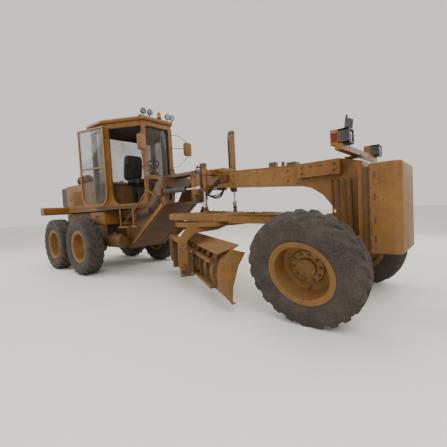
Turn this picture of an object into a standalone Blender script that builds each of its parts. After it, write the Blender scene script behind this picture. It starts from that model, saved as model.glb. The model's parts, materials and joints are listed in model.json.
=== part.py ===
"""Motor grader: articulated frame, leaning front wheels, tandem drive and a circle-mounted blade.

Metres, +Z up.  The machine faces -Y and its left side is +X.  The origin is on the ground at the
middle of its length and width.  Lengths below are measured from the front axle, rearwards.
"""
import math

import bmesh
import bpy
from mathutils import Matrix, Vector

# driving dimensions
MID_LENGTH = 3.54        # front axle to the middle of the machine
WHEELBASE = 6.01         # front axle to the middle of the tandems
TANDEM_SPACING = 1.46
TRACK = 2.06
TYRE_RADIUS = 0.6365
TYRE_WIDTH = 0.36
RIM_RADIUS = 0.322       # where the tyre's bead sits
GAP = 0.0005             # between pieces that touch
RUNNING_GAP = 0.006      # between pieces that move on each other

LEAN = math.radians(15.5)     # the front wheels' tops lean to the machine's right
PIVOT_HALF = 0.700            # lean pivots, from the axle's middle
PIVOT_TO_WHEEL = 0.330        # lean pivot to the wheel's centre plane
KINGPIN_OFFSET = 0.090        # kingpin, outboard of the lean pivot

ARTIC_Y = 2.55           # articulation pin
BEAM_HALF = 0.14         # half width of the front frame's box beam
CIRCLE_Y = 2.21
CIRCLE_R = 0.70
CIRCLE_Z = 1.09
BLADE_LENGTH = 3.10
BLADE_YAW = math.radians(58.4)  # from straight across; its right end is forward
BLADE_Z = 0.115          # cutting edge above the ground
BLADE_BACK = 0.306       # cutting edge behind the circle's middle
BLADE_SHIFT = 0.184      # the blade's middle, right of the circle's middle
TIP_PIVOT = (0.680, 0.420)      # blade tip hinge: behind the circle's middle, above the ground
BALL = (0.0, 0.26, 1.08)        # the drawbar's ball on the front frame

CAB_PLAN = ((0.35, 3.72), (0.80, 4.50), (0.84, 5.00))   # one side's corners, front to rear
CAB_FLOOR = 1.50
CAB_TOP = 3.22
ROOF_TOP = 3.29

PAINT = (0.40, 0.20, 0.045)
DARK_PAINT = (0.23, 0.115, 0.04)
RUBBER = (0.045, 0.04, 0.037)
DARK = (0.035, 0.032, 0.03)
STEEL = (0.35, 0.33, 0.30)
GLASS = (0.30, 0.38, 0.40)


def clear_scene():
    for thing in list(bpy.data.objects):
        bpy.data.objects.remove(thing, do_unlink=True)


def material(name, colour, roughness, metallic=0.0):
    made = bpy.data.materials.new(name)
    made.use_nodes = True
    shader = made.node_tree.nodes["Principled BSDF"]
    shader.inputs["Base Color"].default_value = (*colour, 1.0)
    shader.inputs["Roughness"].default_value = roughness
    shader.inputs["Metallic"].default_value = metallic
    return made


def empty(name, place=(0, 0, 0), parent=None, turn=None):
    """An empty at a place in its parent's axes; turn is a rotation matrix."""
    made = bpy.data.objects.new(name, None)
    bpy.context.scene.collection.objects.link(made)
    made.parent = parent
    made.location = place
    if turn is not None:
        made.rotation_euler = turn.to_euler()
    return made


def mesh_object(name, points, faces, parent):
    mesh = bpy.data.meshes.new(name)
    mesh.from_pydata([Vector(p) for p in points], [], faces)
    work = bmesh.new()
    work.from_mesh(mesh)
    bmesh.ops.recalc_face_normals(work, faces=work.faces)
    work.to_mesh(mesh)
    work.free()
    made = bpy.data.objects.new(name, mesh)
    bpy.context.scene.collection.objects.link(made)
    made.parent = parent
    return made


# ---- shapes: each returns (points, faces) ----

def box(low, high):
    (a, b, c), (d, e, f) = low, high
    points = [(x, y, z) for z in (c, f) for y in (b, e) for x in (a, d)]
    faces = [(0, 1, 3, 2), (4, 6, 7, 5), (0, 4, 5, 1), (2, 3, 7, 6), (0, 2, 6, 4), (1, 5, 7, 3)]
    return points, faces


def prism(outline, axis, start, end):
    """Extrude an outline along x, y or z; its points are the other two axes in x, y, z order."""
    place = {"x": lambda s, p: (s, p[0], p[1]),
             "y": lambda s, p: (p[0], s, p[1]),
             "z": lambda s, p: (p[0], p[1], s)}[axis]
    count = len(outline)
    points = [place(start, p) for p in outline] + [place(end, p) for p in outline]
    sides = [(i, (i + 1) % count, count + (i + 1) % count, count + i) for i in range(count)]
    return points, [tuple(range(count))[::-1], tuple(range(count, 2 * count))] + sides


def axis_turn(direction):
    return Vector((0, 0, 1)).rotation_difference(Vector(direction)).to_matrix()


def turned(profile, centre, direction, segments=28):
    """Revolve a closed profile of (along, radius) points about an axis through centre."""
    turn = axis_turn(direction)
    centre = Vector(centre)
    points = []
    rings = []
    for along, radius in profile:
        if radius < 1e-6:
            rings.append([len(points)] * segments)
            points.append(centre + turn @ Vector((0, 0, along)))
            continue
        rings.append(list(range(len(points), len(points) + segments)))
        for i in range(segments):
            angle = 2 * math.pi * i / segments
            spoke = Vector((radius * math.cos(angle), radius * math.sin(angle), along))
            points.append(centre + turn @ spoke)
    faces = []
    for ring, after in zip(rings, rings[1:] + rings[:1]):
        for i in range(segments):
            j = (i + 1) % segments
            corners = [ring[i], ring[j], after[j], after[i]]
            face = [c for k, c in enumerate(corners) if c != corners[k - 1]]
            if len(set(face)) > 2:
                faces.append(tuple(face))
    return points, faces


def rod(start, end, radius, segments=16):
    start, end = Vector(start), Vector(end)
    length = (end - start).length
    profile = [(0, 0), (0, radius), (length, radius), (length, 0)]
    return turned(profile, start, end - start, segments)


def tube(start, end, radius, bore, segments=20):
    start, end = Vector(start), Vector(end)
    length = (end - start).length
    profile = [(0, bore), (0, radius), (length, radius), (length, bore)]
    return turned(profile, start, end - start, segments)


def rounded(low, high, radius, steps=4):
    """Outline of a rectangle with round corners."""
    (a, b), (c, d) = low, high
    corners = ((c - radius, d - radius, 0), (a + radius, d - radius, 90),
               (a + radius, b + radius, 180), (c - radius, b + radius, 270))
    outline = []
    for x, y, first in corners:
        for i in range(steps + 1):
            angle = math.radians(first + 90 * i / steps)
            outline.append((x + radius * math.cos(angle), y + radius * math.sin(angle)))
    return outline


def node(name, look, adds, cuts=(), parent=None, smooth=False, bevel=0.0):
    """One sub-part: the first shape, joined to the rest and cut by the cutters."""
    made = mesh_object(name, *adds[0], parent)
    for kind, shapes in (("UNION", adds[1:]), ("DIFFERENCE", cuts)):
        for i, shape in enumerate(shapes):
            guide = mesh_object(f"{name}_{kind.lower()}_{i}", *shape, parent)
            guide.hide_render = True
            guide.display_type = "WIRE"
            join = made.modifiers.new(f"{kind.lower()} {i}", "BOOLEAN")
            join.operation = kind
            join.object = guide
    if bevel:
        soften = made.modifiers.new("soften", "BEVEL")
        soften.width = bevel
        soften.segments = 1
        soften.limit_method = "ANGLE"
        soften.angle_limit = math.radians(50)
    made.data.materials.append(look)
    if smooth:
        made.data.shade_smooth()
        made.data.set_sharp_from_angle(angle=math.radians(35))
    return made


def strut(start, end, width, depth, up=(0, 0, 1)):
    """A straight rectangular bar between two points."""
    start, end = Vector(start), Vector(end)
    along = (end - start).normalized()
    side = along.cross(Vector(up)).normalized() * width / 2
    rise = side.cross(along).normalized() * depth / 2
    points = [p + s * side + r * rise for p in (start, end)
              for s, r in ((-1, -1), (1, -1), (1, 1), (-1, 1))]
    faces = [(0, 1, 2, 3), (7, 6, 5, 4)] + [(i, 4 + i, 4 + (i + 1) % 4, (i + 1) % 4) for i in range(4)]
    return points, faces


def mirrored(outline):
    """Complete a half plan (x > 0, front to rear) to a closed outline."""
    return list(outline) + [(-x, y) for x, y in reversed(outline)]


def scaled_plan(outline, margin):
    """Grow a plan outline by a margin, corner by corner."""
    count = len(outline)
    grown = []
    for i, here in enumerate(outline):
        before, after = Vector(outline[i - 1]), Vector(outline[(i + 1) % count])
        here = Vector(here)
        first, second = (here - before).normalized(), (after - here).normalized()
        out_one, out_two = Vector((first.y, -first.x)), Vector((second.y, -second.x))
        push = (out_one + out_two).normalized()
        grown.append(here + push * margin / max(0.3, push.dot(out_one)))
    return [(p.x, p.y) for p in grown]


SIDES = (("right", -1), ("left", 1))


# ---- wheels ----

def tyre_profile():
    half = TYRE_WIDTH / 2
    side = [(0.128, RIM_RADIUS), (0.128, RIM_RADIUS + 0.050), (half - 0.020, 0.420), (half, 0.490),
            (half - 0.008, 0.575), (half - 0.040, TYRE_RADIUS - 0.016), (0.070, TYRE_RADIUS)]
    return side + [(-x, r) for x, r in reversed(side)]


def rim_profile(dish, hub_radius):
    """Flanged rim with its disc; dish is how far the disc sits behind the middle."""
    seat = RIM_RADIUS - GAP * 2
    flange = RIM_RADIUS + 0.044
    bead = 0.128 + GAP
    return [(bead, seat), (bead, flange), (bead + 0.018, flange), (bead + 0.018, flange - 0.024),
            (bead + 0.006, seat - 0.020), (-dish + 0.020, seat - 0.040), (-dish + 0.012, hub_radius + 0.05),
            (-dish + 0.060, hub_radius + 0.03), (-dish + 0.065, 0.0), (-dish - 0.012, 0.0),
            (-dish - 0.012, seat - 0.040), (-bead - 0.006, seat - 0.020), (-bead - 0.018, flange - 0.024),
            (-bead - 0.018, flange), (-bead, flange), (-bead, seat)]


def wheel(name, pivot, side, dish, hub_radius):
    outward = (side, 0, 0)
    tyre = node(f"tyre_{name}", looks["rubber"], [turned(tyre_profile(), (0, 0, 0), outward, 36)],
                parent=pivot, smooth=True)
    node(f"rim_{name}", looks["paint"], [turned(rim_profile(dish, hub_radius), (0, 0, 0), outward, 36)],
         parent=pivot, smooth=True)
    return tyre



# ---- rear half ----

def lug_plan(half, rear):
    """A plate that ends round at the articulation pin."""
    arc = [(half * math.cos(a), ARTIC_Y + half * math.sin(a))
           for a in (math.radians(180 + 20 * i) for i in range(10))]
    return arc + [(half, rear), (-half, rear)]


def rear_frame(root):
    rail = [(3.02, 1.47), (3.14, 1.90), (3.30, 1.90), (3.66, 1.42), (7.72, 1.38), (7.72, 0.90),
            (6.75, 0.62), (4.25, 0.56)]
    inner, outer = 0.34, 0.42
    plates = [prism(rail, "x", s * inner, s * outer) for s in (-1, 1)]
    across = outer - 0.01
    front = prism([(3.03, 1.475), (3.09, 1.50), (4.30, 0.60), (4.26, 0.565)], "x", -across, across)
    floor = box((-across, 4.27, 0.565), (across, 5.80, 0.605))
    rear = box((-across, 7.64, 0.92), (across, 7.71, 1.37))
    middle = box((-across, 5.02, 0.58), (across, 5.08, 1.37))
    lower_lug = prism(lug_plan(0.15, 3.12), "z", 1.45, 1.49)
    upper_lug = prism(lug_plan(0.15, 3.28), "z", 1.985, 2.045)
    brace = box((-0.38, 3.145, 1.80), (0.38, 3.285, 2.00))
    pin = rod((0, ARTIC_Y, 1.46), (0, ARTIC_Y, 2.06), 0.055)
    ears = [box((s * 0.42 - 0.05, 3.11, 1.63), (s * 0.42 + 0.05, 3.27, 1.77)) for s in (-1, 1)]
    axle_notch = box((-0.5, 5.859, 0.40), (0.5, 6.161, 0.791))
    return node("rear_frame", looks["paint"],
                [plates[0], front, plates[1], floor, rear, middle, lower_lug, brace, upper_lug, pin] + ears,
                [axle_notch], parent=root)


def engine_bay(root):
    outer = [(5.09, 2.06), (5.60, 2.16), (7.46, 2.17), (7.46, 1.425), (5.09, 1.425)]
    inner = [(5.04, 2.03), (5.60, 2.13), (7.50, 2.14), (7.50, 1.35), (5.04, 1.35)]
    node("engine_hood", looks["paint"], [prism(outer, "x", -0.50, 0.50)], [prism(inner, "x", -0.47, 0.47)],
         parent=root)
    node("engine_block", looks["dark"], [box((-0.33, 5.30, 0.95), (0.33, 7.10, 1.98))], parent=root)
    node("radiator_housing", looks["dark"],
         [prism(rounded((-0.47, 1.6005), (0.47, 2.17), 0.06), "y", 7.4605, 7.88)], parent=root)
    node("rear_bumper", looks["paint"], [prism(rounded((7.4605, 1.3865), (7.72, 1.60), 0.04, 2), "x", -1.12, 1.12)],
         parent=root)
    drum = turned([(-0.28, 0), (-0.28, 0.11), (-0.24, 0.14), (0.24, 0.14), (0.28, 0.11), (0.28, 0)],
                  (-0.16, 6.95, 2.325), (0, 1, 0), 24)
    feet = [box((-0.22, y - 0.03, 2.172), (-0.10, y + 0.03, 2.22)) for y in (6.80, 7.10)]
    node("air_cleaner", looks["rust"], [drum] + feet, parent=root, smooth=True)


def drive_line(root):
    case = rounded((5.03, 0.47), (6.99, 0.81), 0.16, 4)
    cases = [prism(case, "x", s * 0.62, s * 0.80) for s in (-1, 1)]
    hubs = [rod((s * 0.79, WHEELBASE + e * TANDEM_SPACING / 2, TYRE_RADIUS),
                (s * 0.955, WHEELBASE + e * TANDEM_SPACING / 2, TYRE_RADIUS), 0.12, 20)
            for s in (-1, 1) for e in (-1, 1)]
    housing = box((-0.63, 5.86, 0.49), (0.63, 6.16, 0.79))
    node("tandem_drive", looks["paint"], [housing] + cases + hubs, parent=root)
    tank = turned([(0, 0), (0, 0.11), (0.04, 0.15), (0.64, 0.15), (0.68, 0.11), (0.68, 0)],
                  (-0.62, 4.30, 0.74), (0, 1, 0), 24)
    node("air_tank", looks["dark_paint"], [tank, box((-0.56, 4.50, 0.66), (-0.4205, 4.58, 0.82))],
         parent=root, smooth=True)
    node("battery_box", looks["paint"], [box((-0.80, 4.72, 1.10), (-0.4205, 5.38, 1.38))], parent=root,
         bevel=0.012)


def boarding_steps(root):
    for name, s in SIDES:
        x = s * 0.66
        rails = [rod((x, y, 1.04), (x, y, 1.424), 0.016, 8) for y in (3.80, 4.30)]
        rung = rod((x, 3.70, 1.05), (x, 4.32, 1.05), 0.016, 8)
        tread = box((min(x, x + s * 0.10), 3.86, 1.035), (max(x, x + s * 0.10), 4.24, 1.06))
        stay = box((min(x, s * 0.4205), 4.285, 1.10), (max(x, s * 0.4205), 4.315, 1.14))
        node(f"boarding_step_{name}", looks["steel"], [rung] + rails + [tread, stay], parent=root)


# ---- cab ----

def face_shape(first, second, outline, inside, outside):
    """A shape on a vertical wall: outline in (distance from first, height), between two depths."""
    first, second = Vector(first), Vector(second)
    along = (second - first).normalized()
    normal = Vector((along.y, -along.x))
    if normal.dot((first + second) / 2 - Vector((0, 4.4))) < 0:
        normal = -normal
    points = []
    for depth in (inside, outside):
        for s, z in outline:
            spot = first + along * s + normal * depth
            points.append((spot.x, spot.y, z))
    count = len(outline)
    sides = [(i, (i + 1) % count, count + (i + 1) % count, count + i) for i in range(count)]
    return points, [tuple(range(count))[::-1], tuple(range(count, 2 * count))] + sides


def door_outline(low, high, bottom, top, tuck):
    """A doorway that narrows to round lower corners."""
    outline = [(high, top), (low, top)]
    for centre, first in ((low + tuck, 180), (high - tuck, 270)):
        for i in range(5):
            angle = math.radians(first + 22.5 * i)
            outline.append((centre + tuck * math.cos(angle), bottom + 1.6 * tuck * (1 + math.sin(angle))))
    return outline


def cab(root):
    plan = mirrored(CAB_PLAN)
    inner = scaled_plan(plan, -0.05)
    floor = prism(plan, "z", 1.4255, CAB_FLOOR)
    console = box((-0.58, 4.36, 1.49), (-0.30, 4.82, 1.93))
    node("cab_floor", looks["dark_paint"], [floor, console], parent=root)
    front, waist, back = CAB_PLAN
    cuts = [prism(inner, "z", 1.40, 3.40)]
    cuts.append(face_shape((-front[0], front[1]), front, rounded((0.055, 2.10), (0.645, 3.12), 0.04), -0.2, 0.2))
    cuts.append(face_shape((-front[0], front[1]), front, rounded((0.055, 1.56), (0.645, 2.02), 0.04), -0.2, 0.2))
    cuts.append(face_shape((-back[0], back[1]), back, rounded((0.12, 2.02), (1.56, 3.08), 0.05), -0.2, 0.2))
    for _, s in SIDES:
        b, f, r = (s * waist[0], waist[1]), (s * front[0], front[1]), (s * back[0], back[1])
        cuts.append(face_shape(b, f, door_outline(0.115, 0.850, 1.53, 3.12, 0.16), -0.2, 0.2))
        cuts.append(face_shape(b, r, rounded((0.075, 1.56), (0.455, 3.12), 0.04), -0.2, 0.2))
    node("cab_shell", looks["paint"], [prism(plan, "z", CAB_FLOOR + GAP, CAB_TOP)], cuts, parent=root)
    node("cab_roof", looks["paint"], [prism(scaled_plan(plan, 0.06), "z", CAB_TOP + GAP, ROOF_TOP)],
         parent=root, bevel=0.02)
    pane = [(0.045, 1.54), (0.655, 1.54), (0.655, 3.14), (0.045, 3.14)]
    node("windscreen", looks["glass"],
         [face_shape((-front[0], front[1]), front, pane, -0.058, -0.0515)], parent=root)
    node("wraparound_glass", looks["glass"], [prism(glass_plan(plan), "z", 1.54, 3.14)], parent=root)


def glass_plan(plan):
    """A bent strip inside the two side windows and the rear one."""
    outer, inner = scaled_plan(plan, -0.0515), scaled_plan(plan, -0.058)
    strip = []
    for line, order in ((outer, (1, 2, 3, 4)), (inner, (4, 3, 2, 1))):
        points = [Vector(line[i]) for i in order]
        points[0] = points[0].lerp(points[1], 0.05)
        points[3] = points[3].lerp(points[2], 0.05)
        strip += [(p.x, p.y) for p in points]
    return strip


def cab_inside(root):
    cushion = box((-0.25, 4.22, 1.98), (0.25, 4.68, 2.10))
    back = prism([(4.62, 2.05), (4.74, 2.05), (4.84, 2.68), (4.74, 2.70)], "x", -0.23, 0.23)
    pedestal = box((-0.14, 4.32, 1.5005), (0.14, 4.60, 1.99))
    node("operator_seat", looks["dark"], [cushion, back, pedestal], parent=root, bevel=0.015)
    column = prism([(3.84, 1.5005), (4.00, 1.5005), (4.02, 2.20), (3.90, 2.20)], "x", -0.11, 0.11)
    wheel_axis = Vector((0, 0.45, 0.89)).normalized()
    centre = Vector((0, 4.02, 2.36))
    stem = rod(centre - wheel_axis * 0.24, centre, 0.03, 12)
    ring = turned([(-0.012, 0.165), (-0.012, 0.19), (0.012, 0.19), (0.012, 0.165)], centre, wheel_axis, 24)
    spoke = strut(centre + Vector((-0.17, 0, 0)), centre + Vector((0.17, 0, 0)), 0.03, 0.015, wheel_axis)
    node("steering_console", looks["dark"], [column, stem, spoke, ring], parent=root)


def roof_lamps(root):
    bar = box((-0.42, 3.72, ROOF_TOP + GAP), (0.48, 3.76, 3.315))
    shapes = [bar]
    for x in (-0.32, -0.16, 0.30, 0.42):
        shapes.append(box((x - 0.012, 3.728, 3.31), (x + 0.012, 3.752, 3.36)))
        shapes.append(turned([(0, 0), (0, 0.065), (0.03, 0.065), (0.075, 0.03), (0.075, 0)],
                             (x, 3.70, 3.40), (0, 1, 0), 16))
    shapes.append(rod((0.09, 3.74, 3.31), (0.09, 3.74, 3.47), 0.05, 16))
    node("roof_lamps", looks["dark"], shapes, parent=root)


def cab_doors(root):
    """The right door stands open, swung back past the cab's side; the left one is shut."""
    hinge_s, hinge_out = 0.085, 0.060
    pivots = {}
    for name, s in SIDES:
        b, f = Vector((s * CAB_PLAN[1][0], CAB_PLAN[1][1])), Vector((s * CAB_PLAN[0][0], CAB_PLAN[0][1]))
        along = (f - b).normalized()
        normal = Vector((-s * along.y, s * along.x))
        spot = b + along * hinge_s + normal * hinge_out
        pivot = empty(f"cab_door_{name}_pivot", (spot.x, spot.y, 0), root)
        if name == "right":
            pivot.rotation_euler = (0, 0, DOOR_OPEN)
        pivots[name] = pivot
        leaf = door_outline(0.100, 0.870, 1.512, 3.16, 0.17)
        hole = door_outline(0.135, 0.835, 1.56, 3.12, 0.15)
        wide = face_shape(b, f, leaf, 0.006, 0.034)
        clear = face_shape(b, f, hole, -0.05, 0.08)
        bar = face_shape(b, f, [(0.12, 2.30), (0.85, 2.30), (0.85, 2.335), (0.12, 2.335)], 0.010, 0.030)
        knuckles = []
        for z in (1.85, 2.95):
            knuckles.append(face_shape(b, f, [(0.075, z), (0.125, z), (0.125, z + 0.06), (0.075, z + 0.06)],
                                       0.028, 0.070))
        shift = Vector((spot.x, spot.y, 0))
        local = [([Vector(p) - shift for p in points], faces) for points, faces in [wide, bar] + knuckles]
        cutter = ([Vector(p) - shift for p in clear[0]], clear[1])
        leaf_node = node(f"cab_door_{name}", looks["paint"], [local[0]], [cutter], parent=pivot)
        pane = face_shape(b, f, door_outline(0.140, 0.855, 1.53, 3.145, 0.16), 0.0345, 0.0405)
        node(f"door_glass_{name}", looks["glass"], [([Vector(p) - shift for p in pane[0]], pane[1])],
             parent=pivot)
        for i, extra in enumerate(local[1:]):
            guide = mesh_object(f"cab_door_{name}_extra_{i}", *extra, pivot)
            guide.hide_render = True
            guide.display_type = "WIRE"
            join = leaf_node.modifiers.new(f"extra {i}", "BOOLEAN")
            join.operation = "UNION"
            join.object = guide
    return pivots


# ---- front half ----

def front_frame(pivot):
    """The gooseneck, in the articulation pivot's axes."""
    side = [(2.46, 1.70), (2.46, 1.975), (1.06, 1.897), (0.46, 1.862), (-0.12, 1.862), (-0.36, 1.80),
            (-0.36, 0.86), (-0.20, 0.78), (0.10, 0.78), (0.10, 1.17), (-0.04, 1.20), (0.04, 1.32),
            (0.13, 1.43), (0.28, 1.53), (0.46, 1.578), (1.06, 1.622), (2.13, 1.70)]
    beam = prism(side, "x", -BEAM_HALF, BEAM_HALF)
    hub = tube((0, ARTIC_Y, 1.497), (0, ARTIC_Y, 1.978), 0.15, 0.062, 24)
    bore = rod((0, ARTIC_Y, 1.40), (0, ARTIC_Y, 2.10), 0.062, 20)
    head = box((-0.24, -0.13, 1.668), (0.24, 0.43, 1.855))
    flange = prism(rounded((-0.34, 0.80), (0.34, 1.74), 0.05, 2), "y", -0.42, -0.355)
    artic_lugs = [box((min(0.13 * s, 0.32 * s), 2.13, 1.66), (max(0.13 * s, 0.32 * s), 2.20, 1.74))
                  for s in (-1, 1)]
    saddle = box((-0.27, 1.94, 1.90), (0.27, 2.10, 1.985))
    saddle_top = box((-0.15, 1.80, 1.94), (0.15, 2.10, 2.00))
    ball_stub = rod((0, 0.09, BALL[2]), (0, 0.178, BALL[2]), 0.05, 16)
    return node("front_frame", looks["paint"],
                [beam, hub, head, flange, saddle, saddle_top, ball_stub] + artic_lugs, [bore], parent=pivot)


def push_block(pivot):
    outline = rounded((-0.42, 0.735), (0.42, 1.725), 0.06, 3)
    block = prism(outline, "y", -0.80, -0.4855)
    plate = box((-0.38, -0.49, 0.76), (0.38, -0.4205, 1.70))
    node("push_block", looks["paint"], [block, plate], parent=pivot)
    bar = box((-0.74, -0.33, 1.8655), (0.74, -0.25, 1.93))
    brackets = box((-0.10, -0.34, 1.8625), (0.10, -0.14, 1.88))
    lamps = [box((x - 0.085, -0.38, 1.925), (x + 0.085, -0.20, 2.08)) for x in (-0.64, 0.64)]
    node("headlamp_bar", looks["paint"], [bar, brackets] + lamps, parent=pivot)


def front_axle(pivot):
    """Axle beam, in axes tilted with the axle; the lean pivots are in its ends."""
    middle = prism([(-0.60, -0.08), (-0.60, 0.06), (-0.16, 0.085), (0.16, 0.085), (0.60, 0.06), (0.60, -0.08),
                    (0.16, -0.10), (-0.16, -0.10)], "y", -0.115, 0.115)
    ears = []
    for s in (-1, 1):
        for t in (-1, 1):
            low = (min(s * 0.59, s * 0.745), min(t * 0.078, t * 0.115), -0.06)
            high = (max(s * 0.59, s * 0.745), max(t * 0.078, t * 0.115), 0.06)
            ears.append(box(low, high))
    return node("front_axle", looks["paint"], [middle] + ears, parent=pivot)


def front_wheels(axle_pivot):
    """Lean brackets, knuckles and wheels, with the bar that keeps both wheels parallel."""
    places = {}
    tilt = axle_tilt()
    for name, s in SIDES:
        lean = empty(f"lean_{name}", (s * PIVOT_HALF, 0, 0), axle_pivot,
                     Matrix.Rotation(-LEAN - tilt, 3, "Y"))
        plate = box((-0.045, -0.067, -0.145), (0.045, 0.067, 0.27))
        ears = [box((min(s * 0.04, s * 0.135), -0.05, z), (max(s * 0.04, s * 0.135), 0.05, z + 0.035))
                for z in (-0.14, 0.105)]
        lug = box((-0.03, 0.06, 0.20), (0.03, 0.105, 0.26))
        node(f"wheel_lean_bracket_{name}", looks["paint"], [plate, lug] + ears, parent=lean)
        knuckle = empty(f"steer_{name}", (s * KINGPIN_OFFSET, 0, 0), lean)
        reach = PIVOT_TO_WHEEL - KINGPIN_OFFSET
        king = rod((0, 0, -0.095), (0, 0, 0.095), 0.038, 16)
        spindle = rod((0, 0, 0), (s * (reach - 0.10), 0, 0), 0.05, 16)
        arm = box((min(s * 0.055, s * 0.095), 0.0, -0.02), (max(s * 0.055, s * 0.095), 0.25, 0.02))
        eye = box((min(-s * 0.022, s * 0.060), 0.215, -0.02), (max(-s * 0.022, s * 0.060), 0.25, 0.02))
        node(f"steering_knuckle_{name}", looks["dark_paint"], [king, spindle, arm, eye], parent=knuckle)
        hub = empty(f"roll_front_{name}", (s * reach, 0, 0), knuckle)
        wheel(f"front_{name}", hub, s, 0.080, 0.10)
        places[name] = knuckle
    bar = empty("lean_bar_pivot", (-PIVOT_HALF, 0, 0), axle_pivot)
    turn = Matrix.Rotation(-LEAN - tilt, 3, "Y")
    offset = turn @ Vector((0, 0, 0.235))
    bar.location = Vector((-PIVOT_HALF, 0, 0)) + offset
    node("wheel_lean_bar", looks["dark_paint"], [box((-0.03, 0.112, -0.022), (2 * PIVOT_HALF + 0.03, 0.145, 0.022))],
         parent=bar)
    low = turn @ Vector((-KINGPIN_OFFSET, 0, 0)) + Vector((-PIVOT_HALF, 0, 0))
    high = turn @ Vector((KINGPIN_OFFSET, 0, 0)) + Vector((PIVOT_HALF, 0, 0))
    lift = Vector((0, 0.235, 0.108))
    node("tie_rod", looks["steel"], [rod(low + lift, high + lift, 0.018, 12)], parent=axle_pivot)
    return places


def axle_tilt():
    """The axle tips until both leaning wheels stand on the ground."""
    return math.asin(PIVOT_TO_WHEEL * math.sin(LEAN) / PIVOT_HALF)


def axle_height():
    """Height at which a leaning wheel's tread just touches the ground."""
    return max(r * math.cos(LEAN) + abs(x) * math.sin(LEAN) for x, r in tyre_profile())


# ---- blade gear ----

def sheared(shape, slope, start):
    points, faces = shape
    return [(x, y, z + slope * (y - start)) for x, y, z in points], faces


def drawbar(pivot):
    """Drawbar, in axes at the ball."""
    x0, y0, z0 = BALL
    outer = [(0.07, 0.345), (0.16, 0.62), (0.50, 1.50), (0.50, 2.86), (0.36, 2.96)]
    plan = [(x, y - y0) for x, y in mirrored(outer)]
    opening = [(x, y - y0) for x, y in mirrored([(0.05, 0.80), (0.34, 1.50), (0.34, 1.62)])]
    well = rod((0, CIRCLE_Y - y0, -0.2), (0, CIRCLE_Y - y0, 0.4), 0.30, 24)
    rear_gap = [(x, y - y0) for x, y in mirrored([(0.34, 2.62), (0.34, 2.80)])]
    plate = sheared(prism(plan, "z", -0.055, 0.075), 0.055, 0.0)
    studs = [rod((s * 0.40, 2.02 - y0, 0.12), (s * 0.40, 2.02 - y0, 0.225), 0.035, 12) for s in (-1, 1)]
    motor = rod((0.36, 2.78 - y0, 0.10), (0.36, 2.78 - y0, 0.24), 0.09, 16)
    seat = box((-0.8, 1.46 - y0, -0.40), (0.8, 3.10 - y0, 1.121 - z0))
    flat = [(x, y - y0) for x, y in ((-0.8, 2.40), (0.26, 2.40), (0.26, 2.79), (0.31, 2.875), (0.8, 2.875),
                                     (0.8, 3.10), (-0.8, 3.10))]
    return node("drawbar", looks["paint"], [plate, motor] + studs,
                [prism(opening, "z", -0.3, 0.5), well, prism(rear_gap, "z", -0.3, 0.13), seat,
                 prism(flat, "z", 0.194, 0.40)],
                parent=pivot)


def circle(pivot):
    """Circle and its two arms, in axes at the circle's middle on the ground, blade straight across."""
    ring = turned([(1.045, CIRCLE_R - 0.11), (1.045, CIRCLE_R), (1.115, CIRCLE_R), (1.115, CIRCLE_R - 0.11)],
                  (0, 0, 0), (0, 0, 1), 40)
    arm = [(-0.10, 1.05), (0.60, 1.05), (0.76, 0.86), (0.76, 0.42), (0.735, 0.375), (0.68, 0.36),
           (0.625, 0.375), (0.61, 0.42), (0.61, 0.84), (0.48, 0.95), (0.10, 0.98)]
    arms = [prism(arm, "x", s * 0.50, s * 0.54) for s in (-1, 1)]
    tie = box((-0.505, 0.66, 0.80), (0.505, 0.74, 0.88))
    return node("circle", looks["paint"], [ring] + arms + [tie], parent=pivot, smooth=True)


def moldboard_face(steps=9):
    """Front face of the moldboard: (forward of the cutting edge, height)."""
    centre_z, radius = 0.47, 0.43
    points = []
    for i in range(steps + 1):
        angle = math.radians(-52 + 118 * i / steps)
        points.append((radius * (1 - math.cos(angle)) - 0.165 + 0.04, centre_z + radius * math.sin(angle)))
    return points


def blade_gear(circle_pivot):
    y, z = TIP_PIVOT
    tip = empty("blade_tip_pivot", (0, y, z), circle_pivot)
    brackets = [box((s * 0.445 - 0.045, -0.165, -0.16), (s * 0.445 + 0.045, 0.045, 0.28)) for s in (-1, 1)]
    cross = box((-0.41, -0.15, 0.10), (0.41, -0.09, 0.20))
    barrel = rod((-0.36, -0.10, 0.0), (0.41, -0.10, 0.0), 0.038, 16)
    mounts = [box((s * 0.28 - 0.02, -0.14, -0.02), (s * 0.28 + 0.02, -0.09, 0.14)) for s in (-1, 1)]
    bore = rod((-0.345, -0.10, 0.0), (0.60, -0.10, 0.0), 0.024, 16)
    node("blade_carrier", looks["paint"], [cross] + brackets + [barrel] + mounts, [bore], parent=tip)

    slide = empty("blade_slide_pivot", (0, 0, 0), tip)
    front = moldboard_face()

    def place(forward, height):
        """Profile point to the tip pivot's axes."""
        return (BLADE_BACK - forward - y, height - z)

    back = [(n - 0.026, h + 0.004) for n, h in front]
    outline = [place(*p) for p in front] + [place(*p) for p in reversed(back)]
    left, right = BLADE_LENGTH / 2 - BLADE_SHIFT, -BLADE_LENGTH / 2 - BLADE_SHIFT
    sheet = prism(outline, "x", right, left)
    ends = []
    for a, b in ((right, right + 0.02), (left - 0.02, left)):
        plate = [place(0.0, BLADE_Z + 0.004), place(0.02, 0.34), place(0.10, 0.60), place(0.20, 0.76)]
        ends.append(prism(plate + [place(*p) for p in reversed(back[1:-1])], "x", a, b))
    rails = [box((right + 0.30, -0.29, h - z), (left - 0.20, -0.175, h + 0.04 - z)) for h in (0.28, 0.62)]
    guard = prism([place(0.13, 0.845), place(0.13, 0.857), place(-0.165, 0.775), place(-0.165, 0.763)],
                  "x", right + 0.03, right + 1.20)
    rod_end = box((left - 0.32, -0.25, -0.03), (left - 0.27, -0.06, 0.03))
    shift_rod = rod((-0.34, -0.10, 0.0), (left - 0.29, -0.10, 0.0), 0.018, 12)
    node("moldboard", looks["paint"], [sheet] + ends + rails + [guard, rod_end, shift_rod], parent=slide)


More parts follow.
